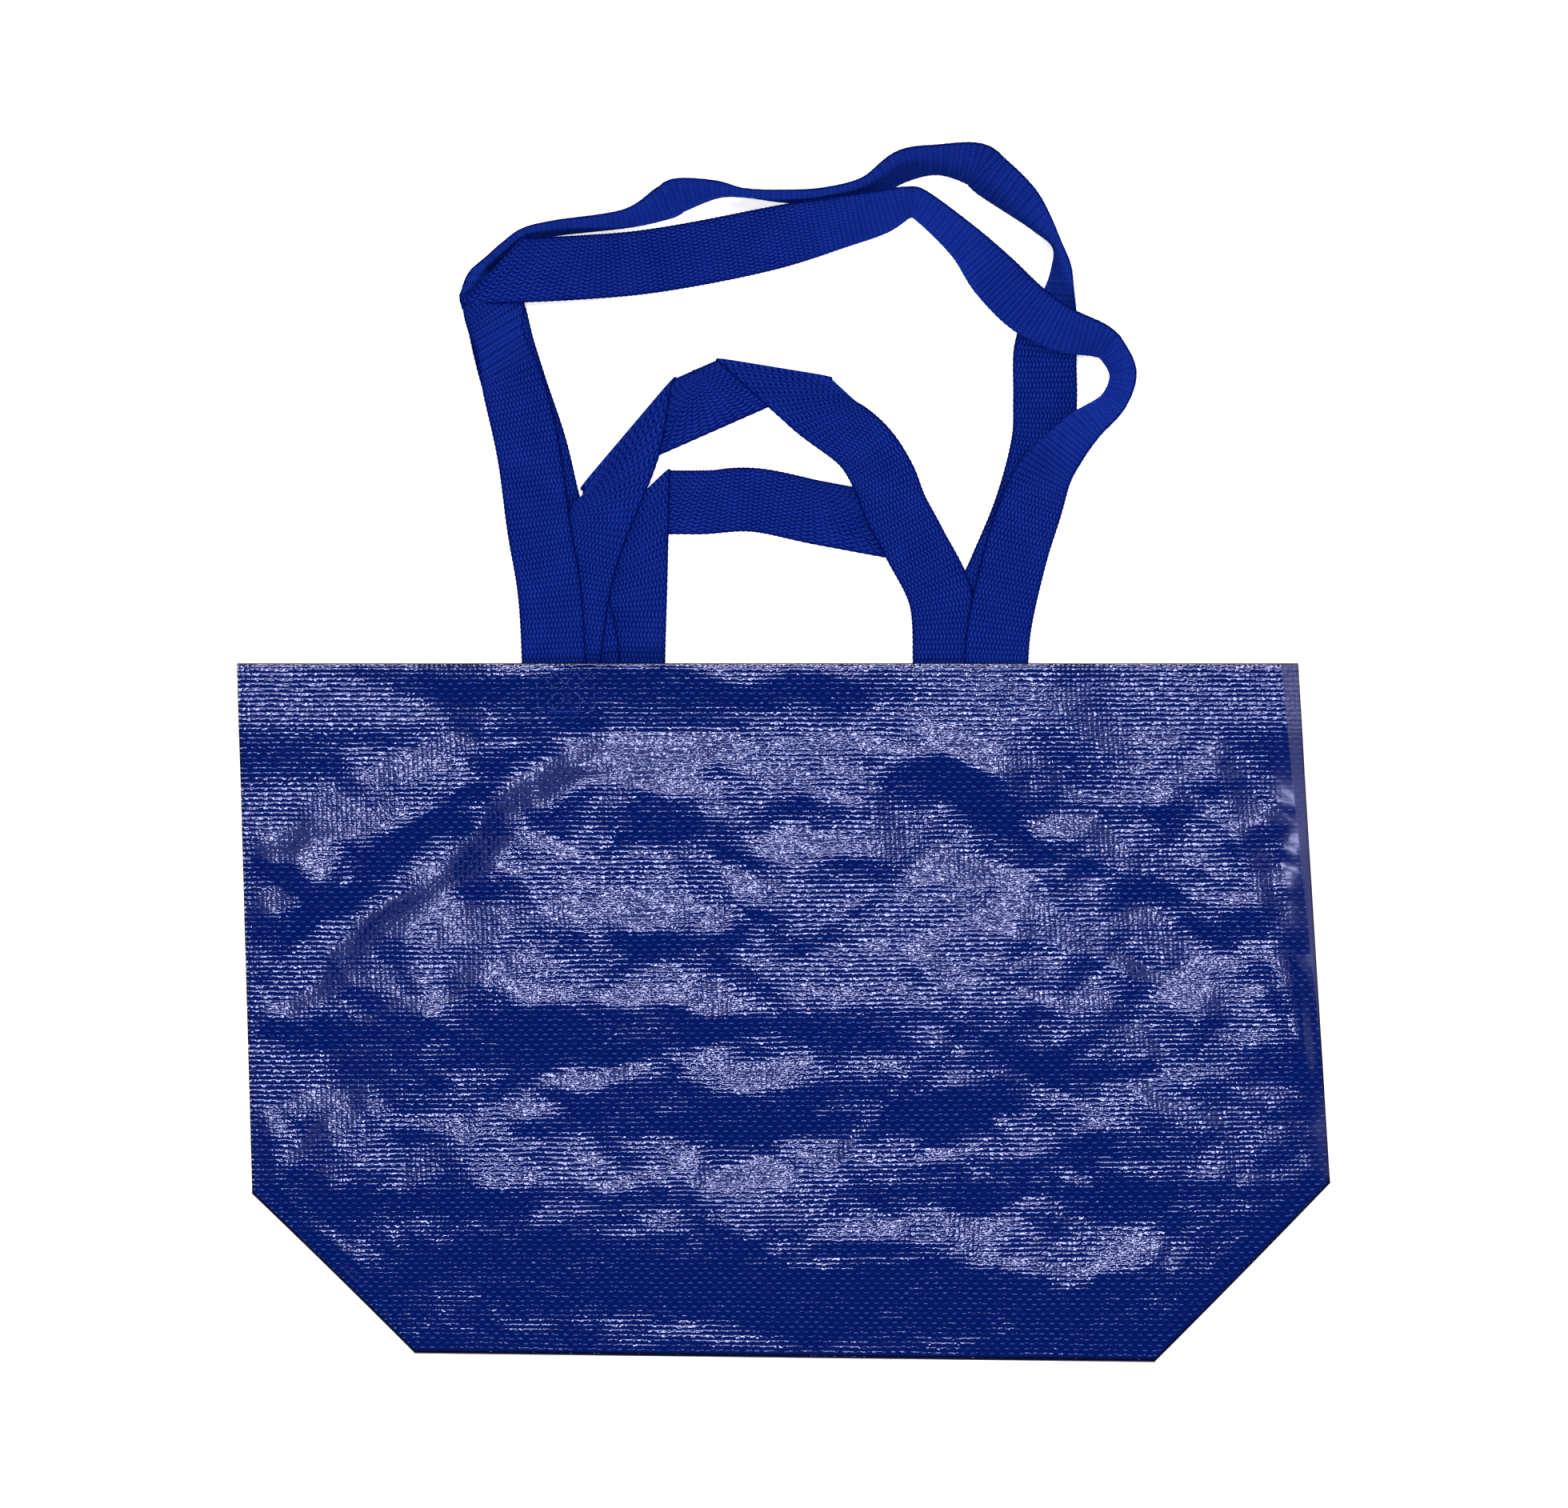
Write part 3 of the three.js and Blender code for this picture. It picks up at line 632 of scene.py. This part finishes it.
def strap_edges(bag, handle):
    """Edges of a handle's middle surface, turned over at each flat fold, in millimetres from the mouth"""
    s = bag.s
    sewn_layer = (bag.sewn_base - bag.web_base) / bag.web_ply + handle["stack"]
    tail = s.web_tail / MM
    half = s.web_width / MM / 2
    ease = FOLD_EASE * s.web_width / MM
    runs = handle["runs"]
    paths = []
    for i, run in enumerate(runs):
        stations = [(start + x, *rest) for start, key in zip(handle["sewn"], ("left", "right"))
                    for x, *rest in run.get(key, [])]
        if i == 0:
            x = handle["sewn"][0]
            stations = [(x, -tail, sewn_layer, 0), (x, 0, sewn_layer, 0), *stations]
        if i == len(runs) - 1:
            x = handle["sewn"][1]
            stations = [*stations, (x, 0, sewn_layer, 0), (x, -tail, sewn_layer, 0)]
        paths.append(walk(stations))

    def slant(one, other):
        fold = unit(one + other)
        return half * fold @ one / (fold @ np.array([-one[1], one[0]]))

    rows = []
    turned = 1
    for i, path in enumerate(paths):
        ahead, left = headings(path)
        start = slant(ahead[0], headings(paths[i - 1])[0][-1]) if i > 0 else 0
        end = slant(ahead[-1], headings(paths[i + 1])[0][0]) if i + 1 < len(paths) else 0
        from_start = np.hypot(*(path - path[0])[:, :2].T)
        from_end = np.hypot(*(path - path[-1])[:, :2].T)
        skew = start * np.maximum(1 - from_start / ease, 0) + end * np.maximum(1 - from_end / ease, 0)
        lean = np.radians(path[:, 3])
        low = bag.web_base / MM + path[:, 2] * bag.web_ply / MM
        across = (left * half + ahead * skew[:, None]) * np.cos(lean)[:, None]
        sides = [np.column_stack([path[:, :2] + side * across, low + (side > 0) * 2 * half * np.sin(lean)])
                 for side in (turned, -turned)]
        rows.append(np.stack(sides, axis=1))
        if i + 1 < len(paths):
            away = unit(ahead[-1] - headings(paths[i + 1])[0][0])
            rise = (paths[i + 1][0, 2] - path[-1, 2]) * bag.web_ply / MM / 2
            steps = [np.append(away * abs(rise) * np.cos(a), rise * (1 + np.sin(a))) for a in TURN_STEPS]
            rows.append(np.stack([rows[-1][-1] + step for step in steps]))
            turned = -turned
    return np.concatenate(rows)[::-1]


def handle_mesh(bag, handle):
    """Webbing handle with rounded edges and the ribs of its weave"""
    s = bag.s
    edges = strap_edges(bag, handle) * MM
    edges[:, :, :2] += bag.mouth
    middle = edges.mean(axis=1)
    along = np.append(0, np.cumsum(np.linalg.norm(np.diff(middle, axis=0), axis=1)))
    u = np.linspace(0, 1, WEB_COLUMNS)
    sheet = Sheet()
    rows = []
    for (first, second), distance in zip(edges, along):
        scallop = SCALLOP * np.cos(4 * pi * distance / WEB_REPEAT)
        points = lerp(first, second, (0.5 + (u - 0.5) * (1 + scallop))[:, None])
        rows.append(sheet.row(points, np.column_stack([(u - 0.5) * s.web_width, np.full_like(u, distance)])))
    sheet.strips(rows)
    crown = 1 - EDGE_THINNING * np.abs(2 * u - 1) ** EDGE_POWER
    rib = 1 + RIB_SWELL * np.cos(2 * pi * along / WEB_REPEAT)
    sheet.swell = (rib[:, None] * crown[None, :]).ravel()
    return sheet.mesh("woven_" + handle["name"], s.web_thickness), along[-1]


# Sewing

STITCH_PITCH = 4.4
STITCH_ENDS = (0.12, 0.88)
STITCH_RISE = np.array([-0.6, 0.5, 0.8, 0.5, -0.6])
STITCH_GIRTH = np.array([0.4, 0.9, 1, 0.9, 0.4])
THREAD_RADIUS = 0.26 * MM
HEM_ROW = 24.6
HEM_REACH = 248
BOX_HALF = 10
BOX_ROWS = (3, 22)


def seam_lines():
    """Ends of the front's seams, x and v in millimetres: the hem row, a crossed box over each handle end"""
    lines = [((-HEM_REACH, HEM_ROW), (HEM_REACH, HEM_ROW))]
    top, bottom = BOX_ROWS
    for handle in HANDLES:
        if handle["stack"] > 1:
            for middle in handle["sewn"]:
                left, right = middle - BOX_HALF, middle + BOX_HALF
                corners = [(left, top), (right, top), (right, bottom), (left, bottom)]
                lines += [*zip(corners, corners[1:] + corners[:1]), corners[::2], corners[1::2]]
    return lines


def stitches(bag):
    """Thread of the front's seams, each stitch a short arch of four-sided rings"""
    rise = STITCH_RISE * THREAD_RADIUS
    girth = STITCH_GIRTH * THREAD_RADIUS
    rings, sides = len(girth), 4
    points = []
    for start, end in seam_lines():
        start, end = np.array(start) * MM, np.array(end) * MM
        along = unit(end - start)
        count = round(np.linalg.norm(end - start) / (STITCH_PITCH * MM))
        for i in range(count):
            places = lerp(start, end, ((i + np.linspace(*STITCH_ENDS, rings)) / count)[:, None])
            height = bag.front_height(places[:, 0], places[2, 1]) + bag.s.fabric / 2 + rise
            middles = bag.lay(places[:, 0], places[:, 1], height)
            side = np.array([along[1], along[0], 0])
            points += [middles + girth[:, None] * arm for arm in (side, [0, 0, 1], -side, [0, 0, -1])]
    points = np.array(points).reshape(-1, sides, rings, 3).transpose(0, 2, 1, 3)
    ring = np.arange(sides)
    turned = np.roll(ring, -1)
    starts = sides * np.arange(rings)
    quads = [np.stack([start + ring, start + turned, end + turned, end + ring], axis=1)
             for start, end in zip(starts, starts[1:])]
    quads = np.concatenate([*quads, [ring[::-1]], [starts[-1] + ring]])
    faces = (np.arange(len(points))[:, None, None] * sides * rings + quads).reshape(-1, sides)
    positions = points.reshape(-1, 3)
    return mesh_object("hem_stitches", positions, positions[:, :2], faces)


# Materials

class Wire:
    """A value of a shader: arithmetic on it adds Math nodes"""

    def __init__(self, shader, socket):
        self.shader = shader
        self.socket = socket

    def math(self, operation, *values):
        inputs = dict(enumerate(values))
        return self.shader.node("ShaderNodeMath", {"operation": operation}, inputs)

    def __add__(self, other):
        return self.math("ADD", self, other)

    def __sub__(self, other):
        return self.math("SUBTRACT", self, other)

    def __rsub__(self, other):
        return self.math("SUBTRACT", other, self)

    def __mul__(self, other):
        return self.math("MULTIPLY", self, other)

    def __truediv__(self, other):
        return self.math("DIVIDE", self, other)

    def __pow__(self, other):
        return self.math("POWER", self, other)

    def __abs__(self):
        return self.math("ABSOLUTE", self)

    __radd__ = __add__
    __rmul__ = __mul__

    def sine(self):
        return self.math("SINE", self)

    def fraction(self):
        return self.math("FRACT", self)

    def floor(self):
        return self.math("FLOOR", self)

    def clamped(self, low, high):
        return self.math("MINIMUM", self.math("MAXIMUM", self, low), high)

    def ramp(self, low, high):
        """0 below low, 1 above high, smooth between"""
        settings = {"interpolation_type": "SMOOTHSTEP"}
        inputs = {"Value": self, "From Min": low, "From Max": high}
        return self.shader.node("ShaderNodeMapRange", settings, inputs)


class Shader:
    """Nodes of one material"""

    def __init__(self, name):
        self.material = bpy.data.materials.new(name)
        self.material.use_nodes = True
        self.tree = self.material.node_tree
        self.tree.nodes.clear()

    def node(self, kind, settings=None, inputs=None, output=0):
        """Any node: its settings are set first, then the values or links of its sockets"""
        made = self.tree.nodes.new(kind)
        for name, value in (settings or {}).items():
            setattr(made, name, value)
        for name, value in (inputs or {}).items():
            if isinstance(value, Wire):
                self.tree.links.new(value.socket, made.inputs[name])
            else:
                made.inputs[name].default_value = value
        return Wire(self, made.outputs[output])

    def noise(self, vector, scale, detail=2.0, roughness=0.5):
        inputs = {"Vector": vector, "Scale": scale, "Detail": detail, "Roughness": roughness}
        return self.node("ShaderNodeTexNoise", None, inputs)

    def mix(self, factor, first, second):
        """Blend of two colours"""
        return self.node("ShaderNodeMix", {"data_type": "RGBA"}, {0: factor, 6: first, 7: second}, 2)

    def cloth(self):
        """Cloth coordinates in metres: the vector, across and along"""
        vector = self.node("ShaderNodeUVMap", {"uv_map": "cloth"})
        parts = self.node("ShaderNodeSeparateXYZ", None, {0: vector}).socket.node.outputs
        return vector, Wire(self, parts[0]), Wire(self, parts[1])

    def finish(self, surface):
        output = self.tree.nodes.new("ShaderNodeOutputMaterial")
        self.tree.links.new(surface.socket, output.inputs["Surface"])
        return self.material


def rgba(rgb):
    return (*rgb, 1.0)


CREASE_SHADE_WIDTH = 0.8 * MM
ROLL_WIDTH = 8.5 * MM
ROLL_LENGTH = 190 * MM
TAUT_REACH = (14 * MM, 5 * MM)
TAUT_START = (25 * MM, 50 * MM)
TAUT_SHARE = 0.92
CRINKLE = 2.5
TAPE_TILT = 4.0


def film_over_tape(finish):
    """Glossy film over plain woven tape, each crossing tilted a little its own way"""
    shader = Shader("film_over_tape")
    sizes = bpy.context.scene.bag_sizes
    half_width = sizes.bag_width / 2
    strip_end = sizes.panel_height + sizes.bag_depth / 2
    vector, across, along = shader.cloth()
    wander = shader.noise(vector, 45.0, 1.0) * 0.5
    column = across / finish.tape_pitch + wander
    row = along / finish.tape_pitch + wander
    cell = shader.node("ShaderNodeCombineXYZ", None, {0: column.floor(), 1: row.floor()})
    chance = shader.node("ShaderNodeTexWhiteNoise", None, {"Vector": cell}, 1)
    chance = shader.node("ShaderNodeSeparateXYZ", None, {0: chance}).socket.node.outputs
    tilt_across, tilt_along = (Wire(shader, part) - 0.5 for part in chance[:2])
    wave_across, wave_along = (column * pi).sine(), (row * pi).sine()
    over = wave_across * wave_along
    rise_across, rise_along = abs(wave_across), abs(wave_along)
    ridge = rise_along ** 0.8 * (0.62 + 0.38 * over) + rise_across ** 0.8 * (0.42 - 0.38 * over)
    tilt = (row.fraction() - 0.5) * tilt_along + (column.fraction() - 0.5) * tilt_across
    crinkle = shader.noise(vector, 150.0, 3.0, 0.6)
    weave = ridge + tilt * rise_across * rise_along * TAPE_TILT + crinkle * CRINKLE
    from_edge = half_width - across
    roll_width = ROLL_WIDTH * (1 - along / ROLL_LENGTH)
    roll = (roll_width - from_edge).ramp(-0.5 * MM, 0.7 * MM)
    taut = (from_edge - roll_width).ramp(*TAUT_REACH) * along.ramp(*TAUT_START)
    height = weave * (1 - TAUT_SHARE * taut)
    normal = shader.node("ShaderNodeBump", None,
                         {"Strength": 1.0, "Distance": finish.weave_relief, "Height": height})
    patch = shader.noise(vector, 16.0, 3.0).ramp(0.38, 0.68)
    # Painted highlight: a light dash on the upper edge of each row of tape, where it faces the key lamp,
    # brighter or dimmer at random
    lit_upper_edge = row.fraction().ramp(0.36, 0.24) * row.fraction().ramp(0.05, 0.13)
    dash_highlight = over.ramp(-0.1, 0.35) * lit_upper_edge * (0.3 + Wire(shader, chance[2]))
    woven = shader.mix(dash_highlight.clamped(0, 1), rgba(finish.fabric_colour), rgba(finish.fabric_pale))
    streaks = shader.node("ShaderNodeCombineXYZ", None, {0: across * 40, 1: along})
    streak = shader.noise(streaks, 28.0, 2.0).ramp(0.2, 0.8)
    # Painted reflection: a streaked violet shine laid into the colour of the band where the right edge rolls
    # over
    rolled = shader.mix(roll * (0.5 + 0.5 * streak), woven, rgba(finish.roll_colour))
    from_side = half_width - abs(across)
    from_fold = strip_end - abs(along - strip_end)
    from_corner = (from_side + sizes.panel_height - from_fold) * SQRT_HALF
    # Painted shade: a dark line along the sides, the corner folds, the mouths and the bottom fold
    edges = [from_side, from_corner, abs(along), abs(along - strip_end), abs(along - 2 * strip_end)]
    crease_shades = [distance.ramp(1.25 * CREASE_SHADE_WIDTH, 0.75 * CREASE_SHADE_WIDTH) for distance in edges]
    base = shader.mix(sum(crease_shades).clamped(0, 1), rolled, rgba(finish.crease_colour))
    film = shader.node("ShaderNodeBsdfPrincipled", None, {
        "Base Color": base, "Roughness": 0.06 + 0.03 * patch + 0.13 * taut + 0.3 * roll, "Normal": normal,
        "IOR": 1.5, "Specular Tint": (0.6, 0.62, 1.0, 1.0),
    })
    return shader.finish(film)


def herringbone_webbing(finish):
    """Herringbone webbing, its yarns in arcs that stack up in columns across the strap"""
    shader = Shader("herringbone_webbing")
    vector, across, along = shader.cloth()
    column = (along / WEB_REPEAT).fraction() * 2 - 1
    rib = abs((across / WEB_YARN + 0.65 * (1 - column * column)).fraction() - 0.5) * 2
    crown = abs((along * (2 * pi / WEB_REPEAT) + pi / 2).sine())
    height = (1 - rib * rib) * (0.4 + 0.6 * crown ** 0.7)
    fuzz = shader.noise(vector, 1500.0, 2.0)
    normal = shader.node("ShaderNodeBump", None,
                         {"Strength": 1.0, "Distance": 0.5 * MM, "Height": height + fuzz * 0.25})
    patch = shader.noise(vector, 70.0, 2.0)
    edge = abs(across).ramp(*WEB_EDGE)
    # Painted highlight and shade: crowns lighter and gaps between the yarns darker, by height, plus a random
    # patch tone; towards the edges it stays at the darker blue
    pale = (height * 0.85 + patch * 0.3 - 0.15) * (1 - 0.8 * edge)
    base = shader.mix(pale.clamped(0, 1), rgba(finish.web_colour), rgba(finish.web_pale))
    yarn_surface = shader.node("ShaderNodeBsdfPrincipled", None, {
        "Base Color": base, "Roughness": 0.5 - 0.12 * height, "Normal": normal,
        "Specular IOR Level": 0.0,
        "Sheen Weight": 0.7, "Sheen Roughness": 0.4, "Sheen Tint": (0.03, 0.11, 1.0, 1.0),
    })
    return shader.finish(yarn_surface)


def sewing_thread(finish):
    """Plain thread"""
    shader = Shader("sewing_thread")
    return shader.finish(shader.node("ShaderNodeBsdfPrincipled", None, {
        "Base Color": rgba(finish.thread_colour), "Roughness": 0.6}))


def pale_floor(stage):
    """Floor that keeps the shadow and is white to the camera and in reflections"""
    shader = Shader("pale_floor")
    seen = shader.node("ShaderNodeLightPath")
    reflected = Wire(shader, seen.socket.node.outputs["Is Glossy Ray"])
    through = Wire(shader, seen.socket.node.outputs["Is Transmission Ray"])
    shown = (seen + reflected + through).clamped(0, 1)
    matt = shader.node("ShaderNodeBsdfDiffuse", None, {"Color": rgba(stage.floor_colour)})
    glow = shader.node("ShaderNodeEmission", None, {"Color": rgba((1, 1, 1)), "Strength": 0.45})
    lit = shader.node("ShaderNodeAddShader", None, {0: matt, 1: glow})
    return shader.finish(shader.node("ShaderNodeMixShader", None, {0: shown, 1: matt, 2: lit}))


# Stage

FLOOR_STEPS = 64
WORLD_COLOUR = (0.04, 0.04, 0.045)


def backdrop(stage):
    """Round floor that curves up into a low wall all round"""
    flat, cove, wall = 5.0, 1.5, 3.0
    turns = np.radians(np.arange(0, 91, 15))
    radii = np.concatenate([[0.001, 1, 3], flat + cove * np.sin(turns), [flat + cove]])
    heights = np.concatenate([[0, 0, 0], cove - cove * np.cos(turns), [cove + wall]])
    around = np.linspace(0, 2 * pi, FLOOR_STEPS, endpoint=False)
    rings = [np.column_stack([r * np.cos(around), r * np.sin(around), np.full(FLOOR_STEPS, h)])
             for r, h in zip(radii, heights)]
    index = np.arange(FLOOR_STEPS)
    following = np.roll(index, -1)
    starts = FLOOR_STEPS * np.arange(len(rings))
    faces = np.concatenate([np.stack([start + index, start + following, end + following, end + index], axis=1)
                            for start, end in zip(starts, starts[1:])])
    points = np.concatenate(rings)
    floor = mesh_object("floor", points, points[:, :2], faces)
    floor.data.materials.append(pale_floor(stage))
    floor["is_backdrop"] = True


def softbox(name, place, target, size, radiance, mirrored=True):
    """Rectangular lamp of even brightness that faces its target"""
    lamp = bpy.data.lights.new(name, "AREA")
    lamp.shape = "RECTANGLE"
    lamp.size, lamp.size_y = size
    lamp.energy = radiance * pi * size[0] * size[1]
    holder = bpy.data.objects.new(name, lamp)
    holder.visible_glossy = mirrored
    holder.location = place
    holder.rotation_euler = (Vector(target) - Vector(place)).to_track_quat("-Z", "Y").to_euler()
    bpy.context.scene.collection.objects.link(holder)


def camera(stage):
    """Camera straight above the bag"""
    data = bpy.data.cameras.new("camera")
    data.lens = data.sensor_width * stage.camera_height / stage.field_width
    holder = bpy.data.objects.new("camera", data)
    holder.location = (0, 0, stage.camera_height)
    bpy.context.scene.collection.objects.link(holder)
    bpy.context.scene.camera = holder


# Operators and panel

def dress(piece, material, node):
    """Gives a woven piece its finish, hangs it under the root body and hides the solid it stands for"""
    piece.data.materials.append(material)
    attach(piece, "root")
    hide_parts(node)


def shared_material(make, finish):
    return bpy.data.materials.get(make.__name__) or make(finish)


class BAG_OT_body(Operator):
    """Front, bottom and back of the bag, one folded strip of laminated fabric"""

    bl_idname = "bag.body"
    bl_label = "Body"

    def execute(self, context):
        scene = context.scene
        sizes = scene.bag_sizes
        body = main_panel(FoldedBag(sizes))
        dress(body, shared_material(film_over_tape, scene.bag_finish), "main_panel")
        return {"FINISHED"}


class BAG_OT_gussets(Operator):
    """Side gussets of laminated fabric, folded inward"""

    bl_idname = "bag.gussets"
    bl_label = "Gussets"

    def execute(self, context):
        scene = context.scene
        sizes = scene.bag_sizes
        bag = FoldedBag(sizes)
        for side, node in ((-1, "left_gusset"), (1, "right_gusset")):
            piece = gusset(bag, side, "folded_" + node)
            dress(piece, shared_material(film_over_tape, scene.bag_finish), node)
        return {"FINISHED"}


class BAG_OT_handles(Operator):
    """Four webbing handles, folded and leaning as they fell"""

    bl_idname = "bag.handles"
    bl_label = "Handles"

    def execute(self, context):
        scene = context.scene
        sizes = scene.bag_sizes
        bag = FoldedBag(sizes)
        for handle in HANDLES:
            piece, run = handle_mesh(bag, handle)
            dress(piece, shared_material(herringbone_webbing, scene.bag_finish), handle["name"])
        return {"FINISHED"}


class BAG_OT_stitching(Operator):
    """Thread along the front hem and over the sewn ends of the front handles"""

    bl_idname = "bag.stitching"
    bl_label = "Stitching"

    def execute(self, context):
        scene = context.scene
        thread = stitches(FoldedBag(scene.bag_sizes))
        thread.data.materials.append(shared_material(sewing_thread, scene.bag_finish))
        thread.parent = bpy.data.objects["bag_body"]
        return {"FINISHED"}


class BAG_OT_stage(Operator):
    """Floor, lamps and camera"""

    bl_idname = "bag.stage"
    bl_label = "Stage"

    def execute(self, context):
        scene = context.scene
        stage = scene.bag_stage
        camera(stage)
        backdrop(stage)
        softbox("key", (0, 2.0, 4.3), (0, 2.0, 0), (6.0, 3.8), 0.9)
        softbox("near_core", (0, 0.38, 4.2), (0, 0.38, 0), (2.2, 0.24), 36)
        softbox("far_core", (0, 1.5, 4.2), (0, 1.5, 0), (2.2, 0.26), 36)
        softbox("left_fill", (-2.4, -0.3, 1.6), (0, 0, 0), (1.6, 0.9), 4.0, mirrored=False)
        softbox("right_fill", (2.4, -0.3, 1.6), (0, 0, 0), (1.6, 0.9), 4.0, mirrored=False)
        softbox("front_fill", (0, -2.4, 2.2), (0, 0, 0), (3.0, 1.0), 7.0, mirrored=False)
        world = bpy.data.worlds.new("studio")
        world.use_nodes = True
        world.node_tree.nodes["Background"].inputs["Color"].default_value = rgba(WORLD_COLOUR)
        scene.world = world
        scene.view_settings.view_transform = "Standard"
        return {"FINISHED"}


OPERATORS = (BAG_OT_body, BAG_OT_gussets, BAG_OT_handles, BAG_OT_stitching, BAG_OT_stage)


class BAG_PT_panel(Panel):
    """Steps of the bag in the sidebar"""

    bl_label = "Woven Shopping Bag"
    bl_idname = "BAG_PT_panel"
    bl_space_type = "VIEW_3D"
    bl_region_type = "UI"
    bl_category = "Bag"

    def draw(self, context):
        for operator in OPERATORS:
            self.layout.operator(operator.bl_idname)
        for group in (context.scene.bag_sizes, context.scene.bag_finish, context.scene.bag_stage):
            column = self.layout.column()
            for name in group.bl_rna.properties.keys():
                if name not in ("rna_type", "name"):
                    column.prop(group, name)


CLASSES = (BagSizes, BagFinish, BagStage, *OPERATORS, BAG_PT_panel)


def register():
    for item in CLASSES:
        bpy.utils.register_class(item)
    bpy.types.Scene.bag_sizes = PointerProperty(type=BagSizes)
    bpy.types.Scene.bag_finish = PointerProperty(type=BagFinish)
    bpy.types.Scene.bag_stage = PointerProperty(type=BagStage)


def unregister():
    del bpy.types.Scene.bag_stage
    del bpy.types.Scene.bag_finish
    del bpy.types.Scene.bag_sizes
    for item in reversed(CLASSES):
        bpy.utils.unregister_class(item)


def main():
    register()
    bpy.ops.bag.stage()
    bpy.ops.bag.body()
    bpy.ops.bag.gussets()
    bpy.ops.bag.handles()
    bpy.ops.bag.stitching()
    boxes = {"cad": CAD_BOX, "visual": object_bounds()}
    {name: [list(corner) for corner in box] for name, box in boxes.items()}


if __name__ == "__main__":
    main()
